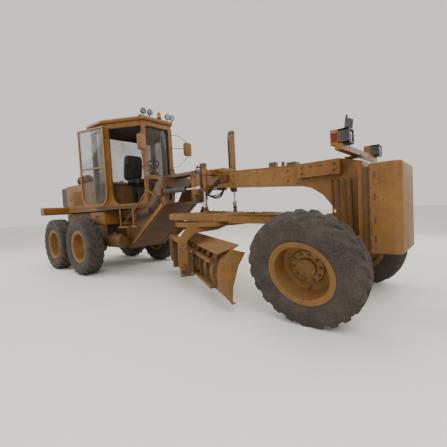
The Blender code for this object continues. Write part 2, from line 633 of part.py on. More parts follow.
def lift_cylinders(pivot):
    """Barrels hang in the saddle's trunnions; their rods reach down to the drawbar."""
    for name, s, top in (("right", -1, 2.08), ("left", 1, 2.74)):
        hang = empty(f"lift_barrel_{name}_pivot", (s * 0.40, 2.02, 1.94), pivot)
        barrel = turned([(1.62 - 1.94, 0.022), (1.62 - 1.94, 0.055), (top - 1.94, 0.055), (top - 1.94, 0.0),
                         (top - 1.98, 0.0), (top - 1.98, 0.022)], (0, 0, 0), (0, 0, 1), 20)
        collar = rod((0, 0, -0.05), (0, 0, 0.05), 0.075, 20)
        bore = rod((0, 0, -0.06), (0, 0, 0.06), 0.03, 20)
        node(f"lift_barrel_{name}", looks["paint"], [barrel, collar], [bore], parent=hang, smooth=True)
        slide = empty(f"lift_rod_{name}_pivot", (0, 0, 0), hang)
        reach = 0.10 if s > 0 else -0.02
        shank = turned([(1.345 - 1.94, 0), (1.345 - 1.94, 0.030), (1.41 - 1.94, 0.045), (1.45 - 1.94, 0.045),
                        (1.46 - 1.94, 0.016), (reach, 0.016), (reach, 0)], (0, 0, 0), (0, 0, 1), 16)
        node(f"lift_rod_{name}", looks["steel"], [shank], parent=slide, smooth=True)


def artic_cylinders(root):
    """Barrels hinged on the rear frame; rods reach the front frame's lugs."""
    for name, s in SIDES:
        rear_pin, front_pin = Vector((s * 0.42, 3.05, 1.70)), Vector((s * 0.26, 2.23, 1.70))
        along = (front_pin - rear_pin).normalized()
        pivot = empty(f"artic_barrel_{name}_pivot", rear_pin, root)
        barrel = turned([(0.0, 0), (0.0, 0.045), (0.50, 0.045), (0.50, 0.024), (0.10, 0.024), (0.10, 0)],
                        (0, 0, 0), along, 20)
        node(f"artic_barrel_{name}", looks["dark"], [barrel], parent=pivot, smooth=True)
        length = (front_pin - rear_pin).length
        shank = turned([(0.30, 0), (0.30, 0.017), (length - 0.09, 0.017), (length - 0.08, 0.036),
                        (length - 0.012, 0.036), (length - 0.012, 0)], (0, 0, 0), along, 16)
        slide = empty(f"artic_rod_{name}_pivot", (0, 0, 0), pivot)
        node(f"artic_rod_{name}", looks["steel"], [shank], parent=slide, smooth=True)


DOOR_OPEN = math.radians(-195)


def build():
    root = empty("machine", (0, -MID_LENGTH, 0))
    rear_frame(root)
    engine_bay(root)
    drive_line(root)
    boarding_steps(root)
    cab(root)
    cab_inside(root)
    roof_lamps(root)
    cab_doors(root)
    for name, s in SIDES:
        for end, e in (("front", -1), ("rear", 1)):
            hub = empty(f"roll_tandem_{name}_{end}",
                        (s * TRACK / 2, WHEELBASE + e * TANDEM_SPACING / 2, TYRE_RADIUS), root)
            wheel(f"tandem_{name}_{end}", hub, s, 0.055, 0.09)

    artic = empty("articulation", (0, 0, 0), root)
    front_frame(artic)
    push_block(artic)
    axle = empty("axle", (0, 0, axle_height()), artic, Matrix.Rotation(axle_tilt(), 3, "Y"))
    front_axle(axle)
    front_wheels(axle)

    swing = empty("drawbar_ball_pivot", BALL, artic)
    ball = [(0.075 * math.cos(math.radians(a)), 0.075 * math.sin(math.radians(a))) for a in range(0, 181, 20)]
    node("drawbar_ball", looks["steel"], [turned(ball, (0, 0, 0), (0, 0, 1), 20)], parent=swing, smooth=True)
    lift = empty("drawbar_pivot", (0, 0, 0), swing)
    drawbar(lift)
    turn = empty("circle_pivot", (0, CIRCLE_Y - BALL[1], -BALL[2]), lift, Matrix.Rotation(BLADE_YAW, 3, "Z"))
    circle(turn)
    blade_gear(turn)
    lift_cylinders(artic)
    artic_cylinders(root)


clear_scene()
looks = {
    "paint": material("yellow paint", PAINT, 0.55),
    "dark_paint": material("dirty paint", DARK_PAINT, 0.7),
    "rust": material("rusty steel", (0.16, 0.075, 0.04), 0.8),
    "rubber": material("tyre rubber", RUBBER, 0.9),
    "dark": material("black parts", DARK, 0.6),
    "steel": material("bare steel", STEEL, 0.35, 0.8),
    "glass": material("cab glass", GLASS, 0.1),
}
build()
bpy.context.view_layer.update()
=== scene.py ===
# Road grader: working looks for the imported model.
import bpy
import json
import math
from mathutils import Matrix, Vector


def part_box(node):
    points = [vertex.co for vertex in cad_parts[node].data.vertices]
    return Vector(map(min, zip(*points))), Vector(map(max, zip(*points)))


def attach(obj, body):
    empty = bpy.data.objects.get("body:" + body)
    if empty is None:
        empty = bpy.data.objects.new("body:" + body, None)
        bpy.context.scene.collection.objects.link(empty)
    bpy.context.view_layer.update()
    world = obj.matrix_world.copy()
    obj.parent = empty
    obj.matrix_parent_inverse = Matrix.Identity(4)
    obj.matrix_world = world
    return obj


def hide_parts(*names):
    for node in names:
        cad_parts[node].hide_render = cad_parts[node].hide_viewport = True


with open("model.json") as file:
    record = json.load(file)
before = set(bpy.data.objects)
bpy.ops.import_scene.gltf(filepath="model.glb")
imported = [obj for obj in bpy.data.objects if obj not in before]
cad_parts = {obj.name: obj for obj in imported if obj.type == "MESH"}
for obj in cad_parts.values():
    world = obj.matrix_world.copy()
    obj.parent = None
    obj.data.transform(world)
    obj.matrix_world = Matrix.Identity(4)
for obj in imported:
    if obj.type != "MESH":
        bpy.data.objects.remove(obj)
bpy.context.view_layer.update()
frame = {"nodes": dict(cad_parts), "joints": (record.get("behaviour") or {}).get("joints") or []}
joints = {j["name"]: j for j in frame["joints"]}
axleLow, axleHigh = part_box("front_axle")
axleY = (axleLow.y + axleHigh.y) / 2  # lengths below are measured back from the front axle
print("frame loaded")


def at(x, y, z):
    return Vector((x, y + axleY, z))


sides = (("right", -1), ("left", 1))
fromAxle = Matrix.Translation(at(0, 0, 0))  # moves a shape drawn from the front axle to its place


def linear(code):
    values = [int(code[i:i + 2], 16) / 255 for i in (1, 3, 5)]
    return tuple(v / 12.92 if v <= 0.04045 else ((v + 0.055) / 1.055) ** 2.4 for v in values) + (1.0,)


def addNode(tree, kind, inputs=None, **settings):
    node = tree.nodes.new(kind)
    for key, value in settings.items():
        setattr(node, key, value)
    for socket, value in (inputs or {}).items():
        if isinstance(value, bpy.types.NodeSocket):
            tree.links.new(value, node.inputs[socket])
        else:
            node.inputs[socket].default_value = value
    return node


def newMaterial(name, **fixed):
    made = bpy.data.materials.new(name)
    made.use_nodes = True
    tree = made.node_tree
    shader = next(n for n in tree.nodes if n.type == "BSDF_PRINCIPLED")
    for socket, value in fixed.items():
        shader.inputs[socket.replace("_", " ")].default_value = value
    place = addNode(tree, "ShaderNodeTexCoord").outputs["Object"]
    return made, tree, shader, place


def noiseMask(tree, place, scale, low, high, detail=4.0):
    grain = addNode(tree, "ShaderNodeTexNoise", {"Vector": place, "Scale": scale, "Detail": detail})
    return addNode(tree, "ShaderNodeMapRange",
                   {"Value": grain.outputs["Fac"], "From Min": low, "From Max": high}).outputs["Result"]


def blendColour(tree, factor, first, second):
    mixed = addNode(tree, "ShaderNodeMix", data_type="RGBA")
    for socket, value in ((0, factor), (6, first), (7, second)):
        if isinstance(value, bpy.types.NodeSocket):
            tree.links.new(value, mixed.inputs[socket])
        else:
            mixed.inputs[socket].default_value = value
    return mixed.outputs[2]


def times(tree, first, second):
    return addNode(tree, "ShaderNodeMath", {0: first, 1: second}, operation="MULTIPLY").outputs[0]


def machineEnamel(name, colours, dustTop=1.5, dustAmount=0.8):
    # brushed alkyd enamel that has stood in the sun: chalky patches, road dust low down, chips to brown primer
    made, tree, shader, place = newMaterial(name, IOR=1.5)
    patches = noiseMask(tree, place, 1.4, 0.40, 0.66)                      # fade patches about 700 mm across
    colour = blendColour(tree, patches, linear(colours["body"]), linear(colours["faded"]))
    mottle = noiseMask(tree, place, 11.0, 0.35, 0.75, 8.0)                 # 90 mm hand marks and grime
    colour = blendColour(tree, times(tree, mottle, 0.55), colour, linear(colours["grime"]))
    height = addNode(tree, "ShaderNodeSeparateXYZ", {0: place}).outputs["Z"]
    low = addNode(tree, "ShaderNodeMapRange",
                  {"Value": height, "From Min": dustTop, "From Max": 0.15}).outputs["Result"]
    dustLow = times(tree, low, noiseMask(tree, place, 3.5, 0.30, 0.62, 6.0))
    facing = addNode(tree, "ShaderNodeSeparateXYZ",
                     {0: addNode(tree, "ShaderNodeNewGeometry").outputs["Normal"]}).outputs["Z"]
    up = addNode(tree, "ShaderNodeMapRange", {"Value": facing, "From Min": 0.55, "From Max": 1.0}).outputs["Result"]
    dustUp = times(tree, up, noiseMask(tree, place, 7.0, 0.30, 0.60, 6.0))
    dust = addNode(tree, "ShaderNodeMath", {0: dustLow, 1: dustUp}, operation="MAXIMUM").outputs[0]
    colour = blendColour(tree, times(tree, dust, dustAmount), colour, linear(colours["dust"]))
    chips = noiseMask(tree, place, 26.0, 0.685, 0.70, 3.0)                 # chips of 10 to 20 mm
    runs = addNode(tree, "ShaderNodeMapping", {0: place, "Scale": (30.0, 30.0, 2.2)}).outputs[0]
    streak = noiseMask(tree, runs, 1.0, 0.62, 0.80, 3.0)                   # rust runs 30 mm wide
    colour = blendColour(tree, times(tree, streak, 0.55), colour, linear(colours["rust"]))
    colour = blendColour(tree, chips, colour, linear(colours["chip"]))
    tree.links.new(colour, shader.inputs["Base Color"])
    rough = addNode(tree, "ShaderNodeMapRange", {"Value": dust, "To Min": 0.46, "To Max": 0.86})
    tree.links.new(rough.outputs["Result"], shader.inputs["Roughness"])
    peel = addNode(tree, "ShaderNodeTexNoise", {"Vector": place, "Scale": 160.0, "Detail": 2.0})  # 6 mm orange peel
    dents = addNode(tree, "ShaderNodeTexNoise", {"Vector": place, "Scale": 5.0, "Detail": 2.0})   # 200 mm panel waves
    waves = addNode(tree, "ShaderNodeBump", {"Height": dents.outputs["Fac"], "Strength": 0.25, "Distance": 0.02})
    chipEdge = addNode(tree, "ShaderNodeBump",
                       {"Height": chips, "Strength": 0.5, "Distance": 0.002, "Normal": waves.outputs[0]}, invert=True)
    skin = addNode(tree, "ShaderNodeBump",
                   {"Height": peel.outputs["Fac"], "Strength": 0.12, "Distance": 0.001, "Normal": chipEdge.outputs[0]})
    tree.links.new(skin.outputs[0], shader.inputs["Normal"])
    return made


def dustyRubber(name, body, dust, grain):
    # vulcanised tread rubber, dry and brown with ground-in dust
    made, tree, shader, place = newMaterial(name, IOR=1.52)
    clods = noiseMask(tree, place, 6.0, 0.36, 0.66, 8.0)                   # dust clouds 150 mm across
    colour = blendColour(tree, clods, linear(body), linear(dust))
    specks = noiseMask(tree, place, 60.0, 0.50, 0.75, 4.0)                 # grit of 15 mm and less
    colour = blendColour(tree, times(tree, specks, 0.6), colour, linear(grain))
    tree.links.new(colour, shader.inputs["Base Color"])
    shader.inputs["Roughness"].default_value = 0.88
    rough = addNode(tree, "ShaderNodeTexNoise", {"Vector": place, "Scale": 90.0, "Detail": 6.0})
    skin = addNode(tree, "ShaderNodeBump", {"Height": rough.outputs["Fac"], "Strength": 0.5, "Distance": 0.004})
    tree.links.new(skin.outputs[0], shader.inputs["Normal"])
    return made


def bareMetal(name, bright, dull, roughness, scale, metallic=1.0, bump=0.1):
    # turned, ground or scraped steel: streaks of wear over a darker skin
    made, tree, shader, place = newMaterial(name, Metallic=metallic)
    wear = noiseMask(tree, place, scale, 0.38, 0.66, 6.0)
    tree.links.new(blendColour(tree, wear, linear(bright), linear(dull)), shader.inputs["Base Color"])
    rough = addNode(tree, "ShaderNodeMapRange", {"Value": wear, "To Min": roughness, "To Max": roughness + 0.25})
    tree.links.new(rough.outputs["Result"], shader.inputs["Roughness"])
    pits = addNode(tree, "ShaderNodeTexNoise", {"Vector": place, "Scale": scale * 8, "Detail": 3.0})
    skin = addNode(tree, "ShaderNodeBump", {"Height": pits.outputs["Fac"], "Strength": bump, "Distance": 0.002})
    tree.links.new(skin.outputs[0], shader.inputs["Normal"])
    return made


def mouldedBlack(name, body, dust, roughness, scale):
    # moulded rubber, vinyl or stoved black: fine pebble grain with dust caught in it
    made, tree, shader, place = newMaterial(name, IOR=1.5)
    film = noiseMask(tree, place, 9.0, 0.42, 0.72, 6.0)
    tree.links.new(blendColour(tree, times(tree, film, 0.7), linear(body), linear(dust)), shader.inputs["Base Color"])
    shader.inputs["Roughness"].default_value = roughness
    pebble = addNode(tree, "ShaderNodeTexVoronoi", {"Vector": place, "Scale": scale})
    skin = addNode(tree, "ShaderNodeBump", {"Height": pebble.outputs["Distance"], "Strength": 0.25, "Distance": 0.001})
    tree.links.new(skin.outputs[0], shader.inputs["Normal"])
    return made


def castGlass(name, tint, dusty, roughness, through):
    # float or pressed glass with a haze of dust that thickens in patches
    made, tree, shader, place = newMaterial(name, IOR=1.45, Transmission_Weight=through, Roughness=roughness)
    haze = noiseMask(tree, place, 4.0, 0.35, 0.75, 6.0)
    tree.links.new(blendColour(tree, times(tree, haze, 0.5), linear(tint), linear(dusty)), shader.inputs["Base Color"])
    return made


def floatPane(name, tint, dusty, clearShare, dustyShare):
    # thin float glass: light passes straight through it, dulled by a film of dust that thickens in patches
    made, tree, shader, place = newMaterial(name, IOR=1.52, Roughness=0.06)
    film = noiseMask(tree, place, 3.0, 0.32, 0.78, 6.0)                    # wiped and dusty patches 300 mm across
    tree.links.new(blendColour(tree, film, linear(tint), linear(dusty)), shader.inputs["Base Color"])
    share = addNode(tree, "ShaderNodeMapRange", {"Value": film, "To Min": clearShare, "To Max": dustyShare})
    tree.links.new(share.outputs["Result"], shader.inputs["Alpha"])
    return made


enamelColours = {"body": "#774C0B", "faded": "#845712", "grime": "#4C330D", "dust": "#66502B", "rust": "#3E260F",
                 "chip": "#2C1D10"}
# a second, darker copy of the enamel colours: painted shade for parts that sit in shadow, laid over their real grime
# and dust
shadeColours = {"body": "#52340E", "faded": "#5F3D12", "grime": "#33220E", "dust": "#534026", "rust": "#301D0F",
                "chip": "#23170F"}
sunFadedEnamel = machineEnamel("sunFadedEnamel", enamelColours)
shadedGrimyEnamel = machineEnamel("shadedGrimyEnamel", shadeColours, 1.9, 0.95)
treadRubber = dustyRubber("treadRubber", "#2B2622", "#3F372F", "#574C40")
hoseRubber = mouldedBlack("hoseRubber", "#1C1A19", "#4C4238", 0.62, 260.0)        # 4 mm braid print
stovedBlack = mouldedBlack("stovedBlack", "#232221", "#4A433C", 0.5, 220.0)
vinylCloth = mouldedBlack("vinylCloth", "#191819", "#3A3532", 0.55, 340.0)       # 3 mm leather grain
chromedSteel = bareMetal("chromedSteel", "#D8D6D2", "#A59F96", 0.14, 14.0, 1.0, 0.02)
scouredSteel = bareMetal("scouredSteel", "#A39A8E", "#5E4A38", 0.34, 18.0, 0.85, 0.3)
rustedSteel = bareMetal("rustedSteel", "#6A4426", "#3B2718", 0.72, 12.0, 0.25, 0.5)
windowGlass = floatPane("windowGlass", "#39403E", "#6E675B", 0.26, 0.46)
shadedGlass = floatPane("shadedGlass", "#2C2A25", "#5A5043", 0.38, 0.58)
amberGlass = castGlass("amberGlass", "#D9581C", "#B04A1E", 0.12, 0.55)
redGlass = castGlass("redGlass", "#7E1A18", "#5C1A18", 0.16, 0.35)
lampGlass = castGlass("lampGlass", "#E8EEF0", "#B8B4A8", 0.04, 0.9)
print("materials ready")


def joined(shapes):
    # every shape here is (points, faces)
    points, faces = [], []
    for ps, fs in shapes:
        start = len(points)
        points += [Vector(p) for p in ps]
        faces += [tuple(i + start for i in f) for f in fs]
    return points, faces


def block(low, high):
    points = [(x, y, z) for x in (low[0], high[0]) for y in (low[1], high[1]) for z in (low[2], high[2])]
    return points, [(0, 1, 3, 2), (4, 6, 7, 5), (0, 4, 5, 1), (2, 3, 7, 6), (0, 2, 6, 4), (1, 5, 7, 3)]


def moved(shape, matrix):
    return [matrix @ Vector(p) for p in shape[0]], shape[1]


def axisFrame(centre, axis):
    # local X along the axis
    turn = Vector((1, 0, 0)).rotation_difference(Vector(axis).normalized()).to_matrix().to_4x4()
    return Matrix.Translation(Vector(centre)) @ turn


def turnedShape(profile, centre, axis, segments=32):
    # profile of (along, radius), turned round the axis; an end off the axis is capped
    points = []
    for along, radius in profile:
        for i in range(segments):
            a = 2 * math.pi * i / segments
            points.append(Vector((along, radius * math.cos(a), radius * math.sin(a))))
    faces = []
    count = len(profile)
    for r in range(count - 1):
        for i in range(segments):
            j = (i + 1) % segments
            faces.append((r * segments + i, r * segments + j, (r + 1) * segments + j, (r + 1) * segments + i))
    if profile[0][1] > 0:
        faces.append(tuple(range(segments))[::-1])
    if profile[-1][1] > 0:
        faces.append(tuple((count - 1) * segments + i for i in range(segments)))
    return moved((points, faces), axisFrame(centre, axis))


def ringShape(profile, centre, axis, segments=48):
    shape = turnedShape(list(profile) + [profile[0]], centre, axis, segments)
    return shape[0], [f for f in shape[1] if len(f) == 4]


def rodShape(start, end, radius, segments=16):
    start, end = Vector(start), Vector(end)
    length = (end - start).length
    return turnedShape([(0, radius), (length, radius)], start, end - start, segments)


def slab(outline, axis, start, end):
    # a closed outline pushed along x, y or z
    count = len(outline)
    order = {"x": lambda a, b, t: (t, a, b), "y": lambda a, b, t: (a, t, b), "z": lambda a, b, t: (a, b, t)}[axis]
    points = [order(a, b, t) for t in (start, end) for a, b in outline]
    sides = [(i, (i + 1) % count, count + (i + 1) % count, count + i) for i in range(count)]
    return points, [tuple(range(count))[::-1], tuple(range(count, 2 * count))] + sides


def pipeShape(route, radius, segments=10, steps=6):
    # a bent tube through the points, corners rounded
    pts = [Vector(p) for p in route]
    line = []
    for i in range(len(pts) - 1):
        p0, p1, p2, p3 = pts[max(i - 1, 0)], pts[i], pts[i + 1], pts[min(i + 2, len(pts) - 1)]
        for s in range(steps):
            t = s / steps
            line.append(0.5 * ((2 * p1) + (p2 - p0) * t + (2 * p0 - 5 * p1 + 4 * p2 - p3) * t * t
                               + (3 * p1 - p0 - 3 * p2 + p3) * t ** 3))
    line.append(pts[-1])
    points, faces = [], []
    side = (line[1] - line[0]).orthogonal().normalized()
    for i, p in enumerate(line):
        along = (line[min(i + 1, len(line) - 1)] - line[max(i - 1, 0)]).normalized()
        side = (side - along * side.dot(along)).normalized()
        other = along.cross(side)
        for k in range(segments):
            a = 2 * math.pi * k / segments
            points.append(p + radius * (math.cos(a) * side + math.sin(a) * other))
    for i in range(len(line) - 1):
        for k in range(segments):
            j = (k + 1) % segments
            faces.append((i * segments + k, i * segments + j, (i + 1) * segments + j, (i + 1) * segments + k))
    faces.append(tuple(range(segments))[::-1])
    faces.append(tuple((len(line) - 1) * segments + k for k in range(segments)))
    return points, faces


def hexBolt(centre, axis, radius, height=None):
    height = height or radius * 0.8
    washer = turnedShape([(0, radius * 1.35), (height * 0.2, radius * 1.35), (height * 0.2, radius * 0.6)],
                         centre, axis, 14)
    head = turnedShape([(height * 0.15, radius), (height * 0.85, radius), (height, radius * 0.8)], centre, axis, 6)
    return joined([washer, head])


def boltRing(centre, axis, ring, count, radius, start=0.0):
    place = axisFrame(centre, axis)
    heads = []
    for i in range(count):
        a = start + 2 * math.pi * i / count
        heads.append(hexBolt(place @ Vector((0, ring * math.cos(a), ring * math.sin(a))), axis, radius))
    return joined(heads)


def piece(name, shape, material, body, smooth=None, bevel=0.0, steps=2, stands=()):
    mesh = bpy.data.meshes.new(name)
    mesh.from_pydata([tuple(p) for p in shape[0]], [], shape[1])
    mesh.validate()
    mesh.update()
    made = bpy.data.objects.new(name, mesh)
    bpy.context.collection.objects.link(made)
    mesh.materials.append(material)
    if bevel:
        soften(made, bevel, steps)
    if smooth is not None:
        mesh.shade_smooth()
        mesh.set_sharp_from_angle(angle=math.radians(smooth))
    if stands:
        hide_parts(*stands)
    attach(made, body)
    return made


def soften(made, width, steps=2):
    edge = made.modifiers.new("soft edges", "BEVEL")
    edge.width = width
    edge.segments = steps
    edge.limit_method = "ANGLE"
    edge.angle_limit = math.radians(34)
    edge.harden_normals = True
    made.data.shade_smooth()
    return made


camera = {"place": (-3.813, -1.314, 1.313), "look": (0.75521, 0.65349, -0.05109),
          "right": (0.65418, -0.75452, -0.05332), "lens": 22.93, "sensor": 36.0}


def makeCamera():
    lens = bpy.data.cameras.new("viewCamera")
    lens.lens, lens.sensor_width = camera["lens"], camera["sensor"]
    lens.clip_end = 200
    made = bpy.data.objects.new("viewCamera", lens)
    bpy.context.collection.objects.link(made)
    look, right = Vector(camera["look"]).normalized(), Vector(camera["right"]).normalized()
    right = (right - look * right.dot(look)).normalized()
    up = right.cross(look)
    made.matrix_world = Matrix.Translation(at(*camera["place"])) @ Matrix(
        ((right.x, up.x, -look.x), (right.y, up.y, -look.y), (right.z, up.z, -look.z))).to_4x4()
    bpy.context.scene.camera = made


studio = {"floor": "#ECEAE4", "floorShade": "#E6E3DC", "floorHalf": 60, "floorZ": -0.002, "sky": "#F7F4EE",
          "skyStrength": 1.0, "lampsFace": (0, 0, 1.0),
          "lamps": (("keyLamp", (-5.5, -7.5, 6.5), 5.0, 470.0), ("fillLamp", (7.0, -4.0, 5.0), 6.0, 200.0),
                    ("rearLamp", (-6.0, 7.0, 5.5), 5.0, 290.0), ("topLamp", (0.0, 1.0, 9.0), 7.0, 240.0))}


def makeStudio():
    world = bpy.data.worlds.new("paleStudio")
    bpy.context.scene.world = world
    world.use_nodes = True
    ground = next(n for n in world.node_tree.nodes if n.type == "BACKGROUND")
    ground.inputs["Color"].default_value = linear(studio["sky"])
    ground.inputs["Strength"].default_value = studio["skyStrength"]
    for name, place, size, power in studio["lamps"]:
        light = bpy.data.lights.new(name, "AREA")
        light.shape, light.size, light.energy = "DISK", size, power
        made = bpy.data.objects.new(name, light)
        made.location = place
        made.rotation_euler = (Vector(studio["lampsFace"]) - Vector(place)).to_track_quat("-Z", "Y").to_euler()
        bpy.context.collection.objects.link(made)
    matt, tree, shader, place = newMaterial("paleMattFloor", Roughness=0.9)
    shade = noiseMask(tree, place, 0.6, 0.2, 0.9)
    colour = blendColour(tree, shade, linear(studio["floor"]), linear(studio["floorShade"]))
    tree.links.new(colour, shader.inputs["Base Color"])
    mesh = bpy.data.meshes.new("studioFloor")
    half = studio["floorHalf"]
    corners = [(x * half, y * half, studio["floorZ"]) for x, y in ((-1, -1), (1, -1), (1, 1), (-1, 1))]
    mesh.from_pydata(corners, [], [(0, 1, 2, 3)])
    floor = bpy.data.objects.new("studioFloor", mesh)
    mesh.materials.append(matt)
    bpy.context.collection.objects.link(floor)


makeCamera()
makeStudio()
print("studio ready")

def dress(names, material, width=0.0, steps=2):
    # CAD nodes that keep their own shape get their finish here
    for name in names:
        made = frame["nodes"][name]
        made.data.materials.clear()
        made.data.materials.append(material)
        if width:
            soften(made, width, steps)


dress(["moldboard", "front_frame", "rear_bumper", "battery_box", "headlamp_bar"], sunFadedEnamel, 0.008)
dress(["cab_shell", "cab_door_right", "cab_door_left"], sunFadedEnamel, 0.004)
dress(["cab_roof", "engine_hood", "drawbar", "circle"], sunFadedEnamel, 0.006)
# these parts take the darker enamel copy: painted shade for where they sit in shadow, as well as grime
dress(["rear_frame", "blade_carrier", "tandem_drive", "wheel_lean_bracket_right",
       "wheel_lean_bracket_left", "front_axle"], shadedGrimyEnamel, 0.006)
dress(["lift_barrel_right", "lift_barrel_left"], sunFadedEnamel)
dress(["cab_floor", "air_tank", "wheel_lean_bar", "steering_knuckle_right", "steering_knuckle_left"], shadedGrimyEnamel)
dress(["engine_block", "radiator_housing"], stovedBlack, 0.01)
dress(["artic_barrel_right", "artic_barrel_left", "steering_console"], stovedBlack)
dress(["lift_rod_right", "lift_rod_left", "artic_rod_right", "artic_rod_left"], chromedSteel)
dress(["tie_rod", "drawbar_ball"], scouredSteel)
dress(["boarding_step_right", "boarding_step_left"], sunFadedEnamel)
dress(["wraparound_glass", "door_glass_right"], windowGlass)
dress(["windscreen", "door_glass_left"], shadedGlass)
print("CAD nodes dressed")

tyre = {"radius": 0.6362, "halfWidth": 0.179, "rim": 0.322, "lugs": 22, "depth": 0.027, "bar": 0.56, "slant": 0.9,
        "around": 264, "treadSteps": 22, "crown": 0.020, "shoulder": 0.022, "middleRib": 0.022, "ramp": 0.16}


def tyreShape():
    # chunky traction bars that start at each shoulder and slant to the middle, the two sides half a pitch apart
    half, pitch = tyre["halfWidth"], 2 * math.pi / tyre["lugs"]
    line = [(-0.127, tyre["rim"] + 0.002, 0), (-0.131, 0.352, 0), (-0.137, 0.366, 0), (-0.144, 0.380, 0),
            (-0.160, 0.418, 0), (-0.174, 0.462, 0), (-half, 0.500, 0.05), (-half + 0.002, 0.540, 0.25),
            (-half + 0.006, 0.572, 0.7), (-half + 0.014, 0.598, 1.0)]
    tread = []
    edge = half - tyre["shoulder"]
    for i in range(tyre["treadSteps"] + 1):
        x = -edge + 2 * edge * i / tyre["treadSteps"]
        crown = tyre["radius"] - tyre["crown"] * abs(x / edge) ** 3
        tread.append((x, crown, 1.0))
    line = line + tread + [(-x, r, k) for x, r, k in reversed(line)]  # (across, radius, share of the lug depth)
    points, count = [], len(line)
    for s in range(tyre["around"]):
        turn = 2 * math.pi * s / tyre["around"]
        for x, r, k in line:
            side = -1 if x < 0 else 1
            reach = min(1.0, abs(x) / edge)
            lean = tyre["slant"] * pitch * (1 - reach) ** 1.3
            phase = ((turn + lean + (0.25 if side > 0 else -0.25) * pitch) / pitch) % 1.0
            wide = tyre["bar"] * (0.80 + 0.20 * reach)
            gap = abs(phase - 0.5) * 2
            up = max(0.0, min(1.0, (wide - gap) / tyre["ramp"] + 0.5))
            if abs(x) < tyre["middleRib"]:
                up = 1.0
            drop = tyre["depth"] * k * (1 - up)
            bulge = 0.0
            if 0.38 < r < 0.50 and k == 0:
                bulge = 0.0015 * math.sin(r * 260)
            points.append(Vector((x + side * bulge, (r - drop) * math.cos(turn), (r - drop) * math.sin(turn))))
    faces = []
    for s in range(tyre["around"]):
        n = (s + 1) % tyre["around"]
        for i in range(count - 1):
            faces.append((s * count + i, n * count + i, n * count + i + 1, s * count + i + 1))
        faces.append((s * count + count - 1, n * count + count - 1, n * count, s * count))
    return points, faces


rimParts = {"flange": 0.3655, "seat": 0.3215, "nuts": 10, "nutRing": 0.150, "nut": 0.015, "around": 72,
            "front": (0.080, 0.10), "tandem": (0.055, 0.09), "turnStep": 0.37}  # pairs are (disc set back, hub radius)


def rimShapes(dish, hub):
    # pressed disc set back in a wide well, with a lock ring and a hub cap; +X is outboard
    flange, seat = rimParts["flange"], rimParts["seat"]
    well = [(0.1285, seat - 0.001), (0.1285, flange - 0.004), (0.134, flange), (0.141, flange), (0.1465, flange - 0.006),
            (0.1465, flange - 0.018), (0.143, flange - 0.024), (0.141, seat + 0.004), (0.136, seat - 0.004),
            (0.134, seat - 0.014), (0.128, seat - 0.022), (0.100, seat - 0.026), (0.05, seat - 0.034),
            (-dish + 0.050, seat - 0.038), (-dish + 0.026, seat - 0.048), (-dish + 0.014, seat - 0.075),
            (-dish + 0.014, 0.205), (-dish + 0.020, 0.190), (-dish + 0.034, 0.182), (-dish + 0.036, 0.118),
            (-dish + 0.036, hub + 0.004), (-dish + 0.060, hub), (-dish + 0.064, hub - 0.010), (-dish + 0.065, 0.0)]
    back = [(-dish - 0.011, 0.0), (-dish - 0.011, seat - 0.042), (-0.133, seat - 0.022), (-0.146, flange - 0.022),
            (-0.146, flange - 0.002), (-0.140, flange), (-0.1285, flange - 0.004), (-0.1285, seat - 0.001)]
    bridge = [(-0.1285, seat - 0.001), (0.1285, seat - 0.001)]
    skins = [turnedShape(line, (0, 0, 0), (1, 0, 0), rimParts["around"]) for line in (well[::-1], back, bridge)]
    skins = [(points, [f for f in faces if len(f) == 4]) for points, faces in skins]  # open at the wheel's mouth
    nuts = boltRing((-dish + 0.034, 0, 0), (1, 0, 0), rimParts["nutRing"], rimParts["nuts"], rimParts["nut"])
    cap = boltRing((-dish + 0.063, 0, 0), (1, 0, 0), hub * 0.72, 6, 0.008)
    valve = rodShape((-dish + 0.01, 0, 0.235), (-dish + 0.075, 0, 0.252), 0.006, 10)
    return joined(skins), joined([nuts, cap, valve])


wheelSites = [(f"front_{name}", f"front_roll_{name}", s, *rimParts["front"]) for name, s in sides]
wheelSites += [(f"tandem_{name}_{end}", f"tandem_roll_{name}_{end}", s, *rimParts["tandem"])
               for name, s in sides for end in ("front", "rear")]
for number, (name, jointName, side, dish, hub) in enumerate(wheelSites):
    joint = joints[jointName]
    outward = Vector(joint["axis"]) * (side if joint["axis"][0] > 0 else -side)
    place = axisFrame(joint["pos_m"], outward) @ Matrix.Rotation(rimParts["turnStep"] * number, 4, "X")
    body = joint["child"]
    piece(f"treadTyre_{name}", moved(tyreShape(), place), treadRubber, body, 40,
          stands=[f"tyre_{name}"])
    rim, nuts = rimShapes(dish, hub)
    piece(f"dishedRim_{name}", moved(rim, place), sunFadedEnamel, body, 35, stands=[f"rim_{name}"])
    piece(f"wheelNuts_{name}", moved(nuts, place), shadedGrimyEnamel, body, 30)
print("wheels built")

def span(s, near, far):
    # two distances from the middle, put in rising order on side s
    return min(s * near, s * far), max(s * near, s * far)


def routeOn(s, route):
    return [at(s * x, y, z) for x, y, z in route]


cabPlan = {"front": (0.35, 3.72), "waist": (0.80, 4.50), "back": (0.84, 5.00), "middle": (0, 4.4)}
windows = {"upperFront": ((0.055, 2.10), (0.645, 3.12)), "lowerFront": ((0.055, 1.56), (0.645, 2.02)),
           "rear": ((0.12, 2.02), (1.56, 3.08)), "corner": ((0.075, 1.56), (0.455, 3.12))}
strip = {"thick": 0.016, "inside": -0.047, "outside": -0.020, "corner": 0.05, "turns": 5}


def wallPoint(first, second, along, height, depth):
    # a point on a cab wall: along it from the first corner, and outward by depth
    a, b = Vector(first), Vector(second)
    run = (b - a).normalized()
    out = Vector((run.y, -run.x))
    if out.dot((a + b) / 2 - Vector(cabPlan["middle"])) < 0:
        out = -out
    spot = a + run * along + out * depth
    return at(spot.x, spot.y, height)


